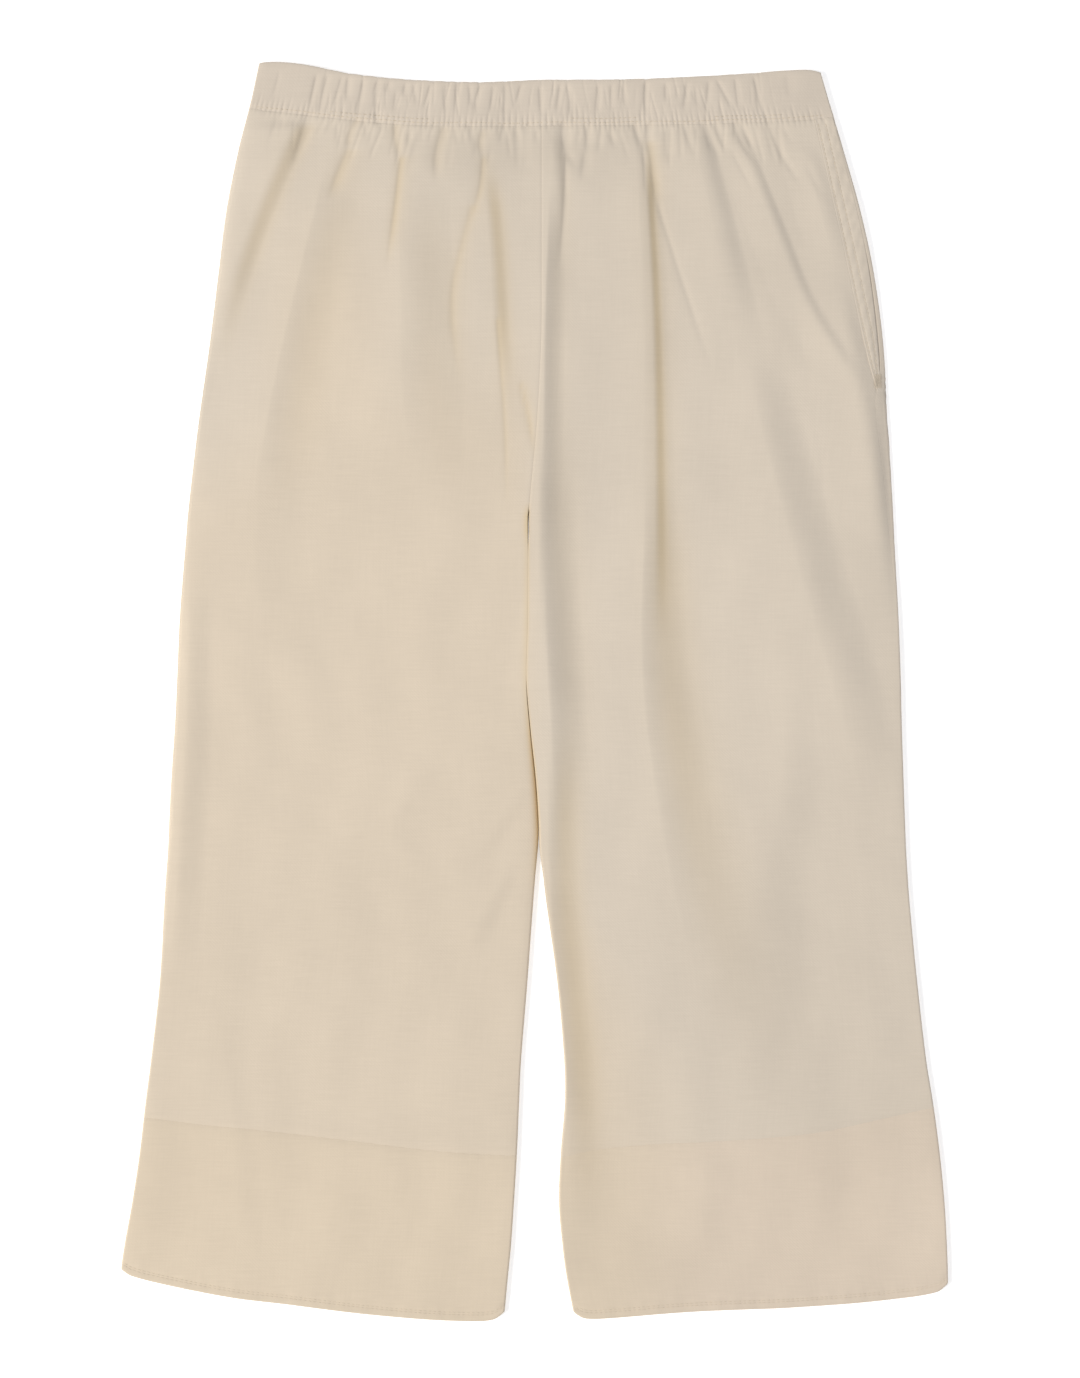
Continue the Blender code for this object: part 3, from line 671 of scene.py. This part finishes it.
def cloth_shell(name, points, flat, wall, facing):
    """A closed sheet of cloth: its face, its inside a wall away, and a rounded edge all round. facing
    is 1 for a face that looks up and -1 for one that lies on the table."""
    if np.cross(*np.gradient(points, axis=(1, 0)))[:, :, 2].mean() * facing < 0:
        points, flat = points[:, ::-1], flat[:, ::-1]
    across, down = np.gradient(points, axis=(1, 0))
    normal = np.cross(across, down)
    normal /= np.linalg.norm(normal, axis=2, keepdims=True)
    rows, columns = points.shape[:2]
    outward = np.zeros_like(points)
    outward[0] -= unit(down[0])
    outward[-1] += unit(down[-1])
    outward[:, 0] -= unit(across[:, 0])
    outward[:, -1] += unit(across[:, -1])
    grid = np.arange(rows * columns).reshape(rows, columns)
    border = np.concatenate([grid[0, :-1], grid[:-1, -1], grid[-1, :0:-1], grid[:0:-1, 0]])
    face = points.reshape(-1, 3)
    normals = normal.reshape(-1, 3)
    inside = face - normals * wall * MM
    rim_middle = face[border] - normals[border] * wall * MM / 2
    rim_out = unit(outward.reshape(-1, 3)[border])
    rings = [
        rim_middle + (normals[border] * math.cos(angle) + rim_out * math.sin(angle)) * wall * MM / 2
        for angle in (math.pi / 4, math.pi / 2, math.pi * 3 / 4)
    ]
    vertices = np.concatenate([face, inside] + rings)
    coordinates = np.concatenate([flat.reshape(-1, 2)] * 2 + [flat.reshape(-1, 2)[border]] * len(rings))
    a, b = grid[:-1, :-1].ravel(), grid[:-1, 1:].ravel()
    c, d = grid[1:, 1:].ravel(), grid[1:, :-1].ravel()
    count = rows * columns
    quads = [np.stack([a, b, c, d], axis=1), np.stack([d, c, b, a], axis=1) + count]
    loops = [border] + [2 * count + k * len(border) + np.arange(len(border)) for k in range(len(rings))]
    loops.append(border + count)
    for near, far in zip(loops[:-1], loops[1:]):
        quads.append(np.stack([near, far, np.roll(far, -1), np.roll(near, -1)], axis=1))
    return quad_mesh(name, vertices, np.concatenate(quads), coordinates, facing)


def unit(vectors):
    return vectors / np.maximum(np.linalg.norm(vectors, axis=-1, keepdims=True), 1e-12)


def add_object(name, data):
    made = bpy.data.objects.new(name, data)
    bpy.context.scene.collection.objects.link(made)
    return made


def quad_mesh(name, vertices, quads, coordinates, facing):
    """A smooth mesh object of quads, with its flat coordinates as the UV map Cloth and its painted
    shade and tone, warmth and painted warm shade as the attribute tone."""
    mesh = bpy.data.meshes.new(name)
    mesh.vertices.add(len(vertices))
    mesh.vertices.foreach_set("co", vertices.astype(np.float32).ravel())
    mesh.loops.add(quads.size)
    mesh.loops.foreach_set("vertex_index", quads.astype(np.int32).ravel())
    mesh.polygons.add(len(quads))
    mesh.polygons.foreach_set("loop_start", np.arange(0, quads.size, 4, dtype=np.int32))
    mesh.update(calc_edges=True)
    mesh.validate()
    layer = mesh.uv_layers.new(name="Cloth")
    layer.data.foreach_set("uv", coordinates[quads.ravel()].astype(np.float32).ravel())
    x, y = vertices[:, 0] / MM, vertices[:, 1] / MM
    tone = mesh.attributes.new("tone", "FLOAT_VECTOR", "POINT")
    shares = np.stack([painted_shade_and_tone(x, y), warmth(x, y), painted_warm_shade(x, y, facing)], axis=1)
    tone.data.foreach_set("vector", shares.astype(np.float32).ravel())
    mesh.shade_smooth()
    return add_object(name, mesh)


def srgb(colour):
    """A hex colour such as "DACDB9" as linear red, green, blue and alpha."""
    parts = [int(colour[k:k + 2], 16) / 255 for k in (0, 2, 4)]
    return [v / 12.92 if v <= 0.04045 else ((v + 0.055) / 1.055) ** 2.4 for v in parts] + [1.0]


def add_node(tree, kind, inputs=None, **settings):
    """Adds a node with its settings; each input is a value or the socket that is linked to it."""
    made = tree.nodes.new(kind)
    for name, value in settings.items():
        setattr(made, name, value)
    for socket, value in (inputs or {}).items():
        if isinstance(value, bpy.types.NodeSocket):
            tree.links.new(value, made.inputs[socket])
        else:
            made.inputs[socket].default_value = value
    return made


def set_inputs(node, values):
    for socket, value in values.items():
        node.inputs[socket].default_value = value


WEAVE_PITCH = 1.0
WEAVE_DEPTH = 0.09
RUMPLE_DEPTH = 0.25      # of the soft unevenness that washing leaves


def washed_cotton(name, cool, warm, warm_shade_colour):
    """Cream cotton and linen in plain weave, washed soft: matt, with faint slubs along the weft and
    a slow drift of tone, with painted shade and light laid over it by the tone attribute and painted
    warm shade in the hollows of creases and along the inseam. The weave is drawn at 1 mm, about
    twice its real pitch, so that it shows as a fine grain."""
    material = bpy.data.materials.new(name)
    material.use_nodes = True
    tree = material.node_tree
    shader = tree.nodes["Principled BSDF"]
    flat = add_node(tree, "ShaderNodeUVMap", uv_map="Cloth").outputs[0]

    def streaks(scale_u, scale_v, detail, roughness):
        """Noise with so many features per metre across and along the cloth."""
        stretched = add_node(tree, "ShaderNodeMapping", {"Vector": flat, "Scale": (scale_u, scale_v, 1)})
        return add_node(tree, "ShaderNodeTexNoise", {
            "Vector": stretched.outputs[0], "Scale": 1.0, "Detail": detail, "Roughness": roughness,
        }, noise_dimensions="2D").outputs[0]

    def levels(value, low, high):
        return add_node(tree, "ShaderNodeMapRange", {
            "Value": value, "From Min": 0.3, "From Max": 0.7, "To Min": low, "To Max": high,
        }).outputs[0]

    def blend(share, under, over):
        return add_node(tree, "ShaderNodeMix", {0: share, 6: under, 7: over}, data_type="RGBA").outputs[2]

    def figure(operation, *values):
        """The result of a sum on single values."""
        return add_node(tree, "ShaderNodeMath", dict(enumerate(values)), operation=operation).outputs[0]

    slubs = streaks(45, 900, 4, 0.7)
    warp = streaks(800, 30, 3, 0.6)
    tone = add_node(tree, "ShaderNodeSeparateXYZ", {
        0: add_node(tree, "ShaderNodeAttribute", attribute_name="tone").outputs["Vector"],
    })
    # Painted warm shade: the colour is mixed towards the warm shade colour in creases and along the inseam.
    warm_shaded_colour = blend(tone.outputs[2], blend(tone.outputs[1], srgb(cool), srgb(warm)), srgb(warm_shade_colour))
    # Painted shade and light: the colour is scaled by the painted shade and tone of each place.
    share = figure("ADD", tone.outputs[0], 1.0)
    drift = streaks(12, 9, 4, 0.6)
    for value, low, high in ((slubs, 0.976, 1.018), (warp, 0.99, 1.01), (drift, 0.984, 1.014)):
        share = figure("MULTIPLY", share, levels(value, low, high))
    spun = add_node(tree, "ShaderNodeVectorMath", {0: warm_shaded_colour, "Scale": share}, operation="SCALE")
    tree.links.new(spun.outputs[0], shader.inputs["Base Color"])

    spread = add_node(tree, "ShaderNodeSeparateXYZ", {0: flat})
    turns = math.pi / (WEAVE_PITCH * MM)
    waves = [figure("SINE", figure("MULTIPLY", spread.outputs[k], turns)) for k in (0, 1)]
    bump = add_node(tree, "ShaderNodeBump", {
        "Height": figure("MULTIPLY_ADD", slubs, figure("MULTIPLY", *waves), slubs),
        "Strength": 0.35, "Distance": WEAVE_DEPTH * MM,
    })
    rumple = add_node(tree, "ShaderNodeBump", {
        "Height": streaks(110, 90, 4, 0.6), "Strength": 0.4, "Distance": RUMPLE_DEPTH * MM,
        "Normal": bump.outputs[0],
    })
    tree.links.new(rumple.outputs[0], shader.inputs["Normal"])
    set_inputs(shader, {
        "Roughness": 0.92, "IOR": 1.5, "Specular IOR Level": 0.2,
        "Sheen Weight": 0.1, "Sheen Roughness": 0.5, "Sheen Tint": srgb("F3E9D8"),
    })
    return material


# The last colour of each cotton is the painted warm shade of its creases and of the inseam.
LEG_COTTON = washed_cotton("leg_cotton", "CEC3B4", "D0C3B1", "CDB78F")


# The strip of the pocket edge, in mm inward from the outline: from its inner side to the mouth
PocketPoint = namedtuple("PocketPoint", "y inner mouth")
POCKET_LINE = [PocketPoint(*row) for row in (
    (196, 6, 3.8),
    (204, 8, 3.9),
    (216, 10.6, 4),
    (232, 13, 4),
    (260, 15.6, 3.6),
    (290, 16.6, 3),
    (320, 16.2, 2.5),
    (345, 14.8, 2.1),
    (372, 13.2, 1.9),
)]
POCKET_CLOTH = 0.6
POCKET_RISE = 0.08       # how far the strip's face stands over the cloth beside it
POCKET_SINK = POCKET_CLOTH - POCKET_RISE + 0.15    # how far it presses the front under it down


def pocket_line(y):
    """How far in from the outline the strip's inner side and the pocket's mouth run."""
    return read_table(POCKET_LINE, "y", "inner", y), read_table(POCKET_LINE, "y", "mouth", y)


def pocket_row(y, from_side):
    """How far in a row of topstitching runs, which closes up with the strip at its lower end."""
    inner, mouth = pocket_line(y)
    return inner - np.minimum(from_side, 0.7 * (inner - mouth))


def front_face(x, y):
    """Height of the fronts' own face, which is pressed down where the pocket edge lies on it."""
    inside = edge_x("left_outer", y) - x
    inner, mouth = pocket_line(y)
    covered = ease((inner - inside) / 0.7) * ease((y - POCKET_LINE[0].y) / 2)
    beyond = ease(mouth - inside) * (0.45 + 0.3 * ease((y - 215) / 60))
    return front_height(x, y) - POCKET_SINK * covered * (1 - beyond)


def sewn(piece, node, material):
    """Gives a piece of cloth its material, hangs it under the root body and hides the imported part that it
    replaces.
    """
    piece.data.materials.append(material)
    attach(piece, "root")
    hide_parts(node)


def table_top(x, y):
    """Height of a back's face: it lies on the table, but for the shallow hollows of its creases."""
    height = np.zeros_like(x)
    for fold in BACK_CREASES:
        height += fold_height(fold, x, y)
    return height + 0.3 * gather_depth(x, y)


# Creases in the backs, drawn up from the table as hollows under the cloth
BACK_CREASES = [Fold(*row) for row in (
    ("back centre", 372, 140, 18, 20, 16, 12, 9, 12, 1.4, 0.7, 10, 90),
    ("back left tuck", 372, 60, 78, 84, 90, 104, 8, 12, 1.8, 0.8, 10, 110),
    ("back left hip", 372, 190, 128, 140, 154, 172, 8, 10, 1.5, 0.6, 10, 70),
    ("back left side", 330, 90, 172, 188, 200, 208, 9, 9, 1.2, 0.5, 40, 80),
    ("back left knee", 60, -190, 60, 72, 88, 110, 20, 24, 1.2, 0.5, 60, 90),
    ("back right tuck", 372, 120, -58, -62, -70, -84, 10, 8, 1.6, 0.7, 10, 90),
    ("back right hip", 374, 200, -112, -126, -140, -158, 10, 8, 1.5, 0.7, 10, 70),
    ("back right side", 340, 60, -165, -180, -192, -200, 9, 9, 1.2, 0.5, 40, 90),
    ("back right knee", 80, -200, -70, -86, -96, -102, 24, 20, 1.2, 0.5, 70, 90),
    ("back right shin", -120, -330, -170, -176, -184, -190, 18, 18, 1, 0.4, 50, 60),
)]

FRONT_ROWS = 148
FRONT_COLUMNS = 286

panel_rows = WAIST_Y - (WAIST_Y - BAND_Y) * np.linspace(0, 1, FRONT_ROWS) ** 1.25
for leg in (RIGHT, LEFT):
    points, flat = leg_grid(leg, panel_row, panel_rows, FRONT_COLUMNS, 1, front_face, table_top)
    front = cloth_shell(f"cloth_front_{leg.side}", points, flat, CLOTH, 1)
    sewn(front, f"front_{leg.side}", LEG_COTTON)

# ==== Backs ===========================================================
# The two backs are the same single layers, face down on the table. At the side seams they come
# round the rolled edge: on the wearer's left the seam lies a little on the front.

BACK_ROWS = 120
BACK_COLUMNS = 60

back_rows = np.linspace(WAIST_Y, BAND_Y, BACK_ROWS)
for leg in (RIGHT, LEFT):
    points, flat = leg_grid(leg, panel_row, back_rows, BACK_COLUMNS, -1, table_top, front_height)
    back = cloth_shell(f"cloth_back_{leg.side}", points, flat, CLOTH, -1)
    sewn(back, f"back_{leg.side}", LEG_COTTON)

# ==== Pocket edge =====================================================
# The mouth of the in-seam pocket on the wearer's left is turned under, doubled, and topstitched
# along its inner side. Its lower end is held by a bartack.

POCKET_STITCH = (1.5, 6.4)   # the two rows of topstitching, in from the strip's inner side
POCKET_ENDS = (371.5, 197)   # Y of the strip's top, before it follows the waist seam, and its low end
POCKET_ROWS = 160
POCKET_COLUMNS = 22


def pocket_top(x, y):
    """Height of the pocket edge's face, which puckers between its stitching and the mouth."""
    inside = edge_x("left_outer", y) - x
    inner, mouth = pocket_line(y)
    pucker = 0.12 * np.sin(y / 1.9 + 1.4 * np.sin(y / 9.0)) * ease((y - 250) / 60)
    pucker += 0.12 * np.sin(y / 1.7 + inside / 1.4 + 1.6 * np.sin(y / 7.0))
    within = ease((inner - inside) / 4) * ease((inside - mouth) / 3)
    stitched = sum(0.22 * bell((inside - pocket_row(y, row)) / 0.8) for row in POCKET_STITCH)
    return front_height(x, y) + POCKET_RISE + pucker * within - stitched


def pocket_grid():
    """Points and flat coordinates of the strip, from its inner side to the mouth."""
    y = np.linspace(*POCKET_ENDS, POCKET_ROWS)[:, None]
    inner, mouth = pocket_line(y)
    x = edge_x("left_outer", y) - (inner + (mouth - inner) * np.linspace(0, 1, POCKET_COLUMNS))
    y = np.repeat(y, POCKET_COLUMNS, axis=1)
    y = y + np.clip(1 - (WAIST_Y - y) / 30, 0, 1) * (waist_y("seam_y", x) - WAIST_Y - 1.2)
    return in_metres(x, y, pocket_top(x, y), x)


points, flat = pocket_grid()
pocket = cloth_shell("cloth_pocket_edge", points, flat, POCKET_CLOTH, 1)
sewn(pocket, "pocket_edge_left", LEG_COTTON)

# ==== Waistband =======================================================
# A casing of doubled cotton over elastic, in two halves joined at the sides. The elastic draws it
# into fine upright gathers, with a row of small puckers over the stitching; its top edge is folded.

CASING = 2.0
CASING_ROUND = 2.2       # how far in from the top edge the fold rounds down
CASING_SINK = 0.8        # how far its face comes down with the fold
CASING_ROWS_UP = (
    0, 0.6, 1.2, 1.8, 2.4, 3.0, 3.8, 4.8, 6, 7.4, 9, 10.6, 12.2, 13.8, 15.4, 17, 18.6, 20.2, 21.8)
CASING_HEIGHT = 23.2     # the height for which those rows are given
TOP_FALL = (5.6, 4.2, 3.0, 2.1, 1.4, 0.9, 0.5, 0.2, 0)

# Its last colour is the painted warm shade of its creases.
BAND_COTTON = washed_cotton("waistband_cotton", "CCC1B3", "CDC0B0", "CDB78F")


def casing_y(x):
    """Y of the waistband's rows at any X, from the waist seam up to the top edge."""
    seam = waist_y("seam_y", x) + SEAM_GAP
    top = waist_y("top_y", x) - 0.5 * gather_depth(x, waist_y("top_y", x) - 4)
    up = np.array(CASING_ROWS_UP)[:, None]
    fall = np.array(TOP_FALL)[:, None]
    stretched = seam + up * (top - TOP_FALL[0] - seam) / CASING_HEIGHT
    return np.concatenate([stretched, top - fall]), top


def casing_grid(columns, turn, face, far):
    """Points and flat coordinates of half the waistband, from side to side and from the waist seam
    up to the top edge."""
    start = edge_x("right_outer", casing_y(np.full((1, 1), SEAM_X[0]))[0])
    end = edge_x("left_outer", casing_y(np.full((1, 1), SEAM_X[1]))[0])
    length = end - start - 2 * ROLL + ROLL * math.pi - 2 * SEAM_GAP
    s = SEAM_GAP + np.linspace(0, 1, columns)[None, :] * length
    x, part = rolled(start, end, ROLL, ROLL, s)
    y = np.empty_like(x)
    top = np.empty_like(x)
    for k in range(len(x)):
        rows, edge = casing_y(x[k:k + 1])
        y[k] = rows[k]
        top[k] = edge
    folded = CASING / 2 * (1 - np.sqrt(1 - np.clip(1 - (top - y) / CASING_ROUND, 0, 1) ** 2))
    upper, lower = (face(x, y) - CASING_SINK * turn * folded, far(x, y))[::turn]
    height = section_height(part * turn, upper, lower)
    return in_metres(x, y, height, s)


for half, turn, columns in (("front", 1, 800), ("back", -1, 300)):
    points, flat = casing_grid(columns, turn, *(front_height, table_top)[::turn])
    casing = cloth_shell(f"cloth_waistband_{half}", points, flat, CASING, turn)
    sewn(casing, f"waistband_{half}", BAND_COTTON)

# ==== Hem bands =======================================================
# Each leg ends in a deep band of doubled cotton, seamed on in line with the panels, a little proud
# of them, and edge-stitched twice just above the hem.

BAND_WALL = 1.5
BAND_STEP = 0.12         # how far a band stands proud of the panel above it
HEM_STITCH = (3.4, 4.9)  # heights of the two rows of stitching over the hem
BAND_ROWS = 52

# Its last colour is the painted warm shade of its creases.
HEM_COTTON = washed_cotton("hem_band_cotton", "D1C3B2", "D0C2AE", "CDB78F")


def hem_groove(leg, x, y):
    """Depth to which the two rows of edge stitching draw the band down, and the puckers at them and
    under the band's seam, which are strongest near the inseam."""
    inner, outer = leg_edges(leg, y)
    across = np.clip((x - inner) / (outer - inner), 0, 1)
    over = y - hem_line(leg, "hem", across)
    drawn = sum(0.30 * bell((over - row) / 0.75) for row in HEM_STITCH)
    pucker = 0.10 * np.sin(x / 1.9 + 1.2 * np.sin(x / 11.0)) * bell((over - 4.0) / 5.0)
    under = hem_line(leg, "band", across) - y
    crinkle = np.sin(x / 1.5 + 1.7 * np.sin(y / 2.7 + x / 13.0))
    pucker += 0.06 * crinkle * bell(under / 9.0) * (1 - across)
    return drawn + pucker


def band_front(leg):
    return lambda x, y: front_height(x, y) + BAND_STEP - hem_groove(leg, x, y)


def band_back(leg):
    return lambda x, y: table_top(x, y) + hem_groove(leg, x, y)


down = np.linspace(0, 1, BAND_ROWS) ** 0.8
for leg in (RIGHT, LEFT):
    under = [f"cloth_hem_band_back_{leg.side}"]
    for half, turn, columns, lies_on in (("front", 1, 130, under), ("back", -1, 70, [])):
        face, far = (band_front(leg), band_back(leg))[::turn]
        points, flat = leg_grid(leg, band_row, down, columns, turn, face, far)
        band = cloth_shell(f"cloth_hem_band_{half}_{leg.side}", points, flat, BAND_WALL, turn)
        sewn(band, f"hem_band_{half}_{leg.side}", HEM_COTTON)

# ==== Stitching =======================================================
# Cotton thread in the cloth's own colour: one row along the waist seam, doubled in places, two rows
# round each hem, a pair down the pocket edge and a dense bartack at its lower end.

THREAD_RADIUS = 0.2
STITCH_LENGTH = 2.5
STITCH_PITCH = 3.1
THREAD_LIFT = 0.05       # how far a row's middle stands over the cloth
BARTACK_LIFT = 0.1


def thread_material():
    """Spun polyester-cotton sewing thread: a touch darker than the cloth, soft, faintly twisted."""
    material = bpy.data.materials.new("sewing_thread")
    material.use_nodes = True
    tree = material.node_tree
    shader = tree.nodes["Principled BSDF"]
    place = add_node(tree, "ShaderNodeTexCoord").outputs["Object"]
    fleck = add_node(tree, "ShaderNodeTexNoise", {"Vector": place, "Scale": 900.0, "Detail": 2.0})
    tone = add_node(tree, "ShaderNodeMix", {0: fleck.outputs[0], 6: srgb("C6B8A2"), 7: srgb("D4C8B5")},
                    data_type="RGBA")
    tree.links.new(tone.outputs[2], shader.inputs["Base Color"])
    twist = add_node(tree, "ShaderNodeTexWave", {"Vector": place, "Scale": 1400.0, "Distortion": 2.0},
                     bands_direction="DIAGONAL")
    bump = add_node(tree, "ShaderNodeBump", {
        "Height": twist.outputs[1], "Strength": 0.4, "Distance": 0.05 * MM,
    })
    tree.links.new(bump.outputs[0], shader.inputs["Normal"])
    set_inputs(shader, {"Roughness": 0.7, "Sheen Weight": 0.15})
    return material


THREAD = thread_material()


def stitch_tree():
    """Geometry Nodes: sets a small spindle of thread every pitch along each row."""
    tree = bpy.data.node_groups.new("stitches_along_rows", "GeometryNodeTree")
    face = tree.interface
    face.new_socket("Rows", in_out="INPUT", socket_type="NodeSocketGeometry")
    for name in ("Pitch", "Stitch Length", "Thread Radius"):
        face.new_socket(name, in_out="INPUT", socket_type="NodeSocketFloat")
    face.new_socket("Stitches", in_out="OUTPUT", socket_type="NodeSocketGeometry")
    given = add_node(tree, "NodeGroupInput")
    spaced = add_node(tree, "GeometryNodeCurveToPoints", {
        "Curve": given.outputs["Rows"], "Length": given.outputs["Pitch"],
    }, mode="LENGTH")
    spindle = add_node(tree, "GeometryNodeMeshUVSphere", {"Segments": 6, "Rings": 4, "Radius": 1.0})
    half = add_node(tree, "ShaderNodeMath", {0: given.outputs["Stitch Length"], 1: 0.5},
                    operation="MULTIPLY")
    size = add_node(tree, "ShaderNodeCombineXYZ", {
        "X": given.outputs["Thread Radius"], "Y": given.outputs["Thread Radius"], "Z": half.outputs[0],
    })
    turned = add_node(tree, "FunctionNodeAlignRotationToVector", {"Vector": spaced.outputs["Tangent"]},
                      axis="Z")
    placed = add_node(tree, "GeometryNodeInstanceOnPoints", {
        "Points": spaced.outputs["Points"], "Instance": spindle.outputs["Mesh"],
        "Rotation": turned.outputs[0], "Scale": size.outputs[0],
    })
    real = add_node(tree, "GeometryNodeRealizeInstances", {"Geometry": placed.outputs[0]})
    smooth = add_node(tree, "GeometryNodeSetShadeSmooth", {"Geometry": real.outputs[0]})
    made = add_node(tree, "GeometryNodeSetMaterial", {"Geometry": smooth.outputs[0], "Material": THREAD})
    add_node(tree, "NodeGroupOutput", {"Stitches": made.outputs[0]})
    return tree


STITCHES = stitch_tree()


def stitch_rows(name, rows, pitch=STITCH_PITCH, length=STITCH_LENGTH):
    """Sews rows of stitches; each row is an array of points in millimetres."""
    curve = bpy.data.curves.new(name + "_rows", "CURVE")
    curve.dimensions = "3D"
    for row in rows:
        line = curve.splines.new("POLY")
        line.points.add(len(row) - 1)
        line.points.foreach_set("co", np.concatenate([row * MM, np.ones((len(row), 1))], axis=1).ravel())
    guide = add_object(name + "_rows", curve)
    sewing = guide.modifiers.new("stitches", "NODES")
    sewing.node_group = STITCHES
    sizes = {"Pitch": pitch * MM, "Stitch Length": length * MM, "Thread Radius": THREAD_RADIUS * MM}
    for socket in STITCHES.interface.items_tree:
        if socket.name in sizes:
            sewing[socket.identifier] = sizes[socket.name]
    evaluated = guide.evaluated_get(bpy.context.evaluated_depsgraph_get())
    mesh = bpy.data.meshes.new_from_object(evaluated)
    mesh.name = name
    bpy.data.objects.remove(guide, do_unlink=True)
    piece = add_object(name, mesh)
    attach(piece, "root")


def row_on(x, y, face, lift=THREAD_LIFT):
    return np.stack([x, y, face(x, y) + lift], axis=1)


def waist_rows():
    """One row round the waistband just over its seam, and short second rows where it was sewn twice."""
    rows = []
    for low, high, over in ((-180, 187, 2.0), (-132, -70, 4.4), (24, 66, 4.6), (118, 160, 4.3)):
        x = np.arange(low, high, 1.5)
        y = waist_y("seam_y", x) + over + 0.25 * np.sin(x / 9.0)
        rows.append(row_on(x, y, front_height))
    x = np.arange(-180, 187, 1.5)
    y = waist_y("seam_y", x) + 2.0
    rows.append(row_on(x, y, table_top))
    return rows


def hem_rows(leg):
    rows = []
    for over in HEM_STITCH:
        across = np.linspace(0.012, 0.988, 160)
        y = hem_line(leg, "hem", across) + over
        inner, outer = leg_edges(leg, y)
        x = inner + (outer - inner) * across
        rows += [row_on(x, y, band_front(leg)), row_on(x, y, band_back(leg))]
    return rows


def pocket_rows():
    y = np.linspace(368, 200, 120)
    return [row_on(edge_x("left_outer", y) - pocket_row(y, from_edge), y, pocket_top)
            for from_edge in POCKET_STITCH]


def bartack_rows():
    """Close cross stitches over the lower end of the pocket mouth."""
    rows = []
    for step in range(12):
        y = np.array([206.5 - 0.75 * step] * 2)
        x = edge_x("left_outer", y) - np.array([6.8, 3.9])
        rows.append(row_on(x, y, pocket_top, BARTACK_LIFT))
    return rows


stitch_rows("stitches_waist", waist_rows())
for leg in (RIGHT, LEFT):
    stitch_rows(f"stitches_hem_{leg.side}", hem_rows(leg))
stitch_rows("stitches_pocket", pocket_rows())
stitch_rows("stitches_bartack", bartack_rows(), pitch=1.4, length=2.6)

# ==== Floor, light and camera =========================================
# A plain white table under soft studio light from a large window-like source on the left, with the
# camera straight above the garment.

FLOOR_Z = -0.4
FRAME_SIZE = (0.702, 0.8957)        # what the camera sees of the table, in metres
FRAME_CENTRE = (0.0033, 0.0026)
LENS = 85.0

bpy.ops.mesh.primitive_plane_add(size=8, location=(0, 0, FLOOR_Z * MM))
floor = bpy.context.active_object
floor.name = "floor"
white = bpy.data.materials.new("white_table")
white.use_nodes = True
set_inputs(white.node_tree.nodes["Principled BSDF"], {
    "Base Color": srgb("FFFFFF"), "Roughness": 0.8, "Specular IOR Level": 0.1,
    "Emission Color": (1, 1, 1, 1), "Emission Strength": 0.35,
})
floor.data.materials.append(white)


def soft_light(name, place, size, power, colour):
    """A large square area light that points at the middle of the garment."""
    light = bpy.data.lights.new(name, "AREA")
    light.shape = "SQUARE"
    light.size = size
    light.energy = power
    light.color = srgb(colour)[:3]
    lamp = add_object(name, light)
    lamp.location = place
    lamp.rotation_euler = (-Vector(place)).to_track_quat("-Z", "Y").to_euler()


soft_light("key_left", (-3.1, -0.9, 2.9), 2.0, 172.0, "FFFAF2")
soft_light("fill_right", (2.2, 1.8, 3.2), 2.6, 30.0, "F2F6FF")

world = bpy.data.worlds.new("studio")
bpy.context.scene.world = world
world.use_nodes = True
set_inputs(world.node_tree.nodes["Background"], {"Color": srgb("FBFCFF"), "Strength": 0.45})
bpy.context.scene.view_settings.view_transform = "Standard"

view = bpy.data.cameras.new("camera")
view.lens = LENS
view.sensor_width = 36.0
camera = add_object("camera", view)
camera.location = (FRAME_CENTRE[0], FRAME_CENTRE[1], FRAME_SIZE[1] * LENS / view.sensor_width)
bpy.context.scene.camera = camera

# ==== Update ==========================================================
# The view layer is brought up to date.

bpy.context.view_layer.update()
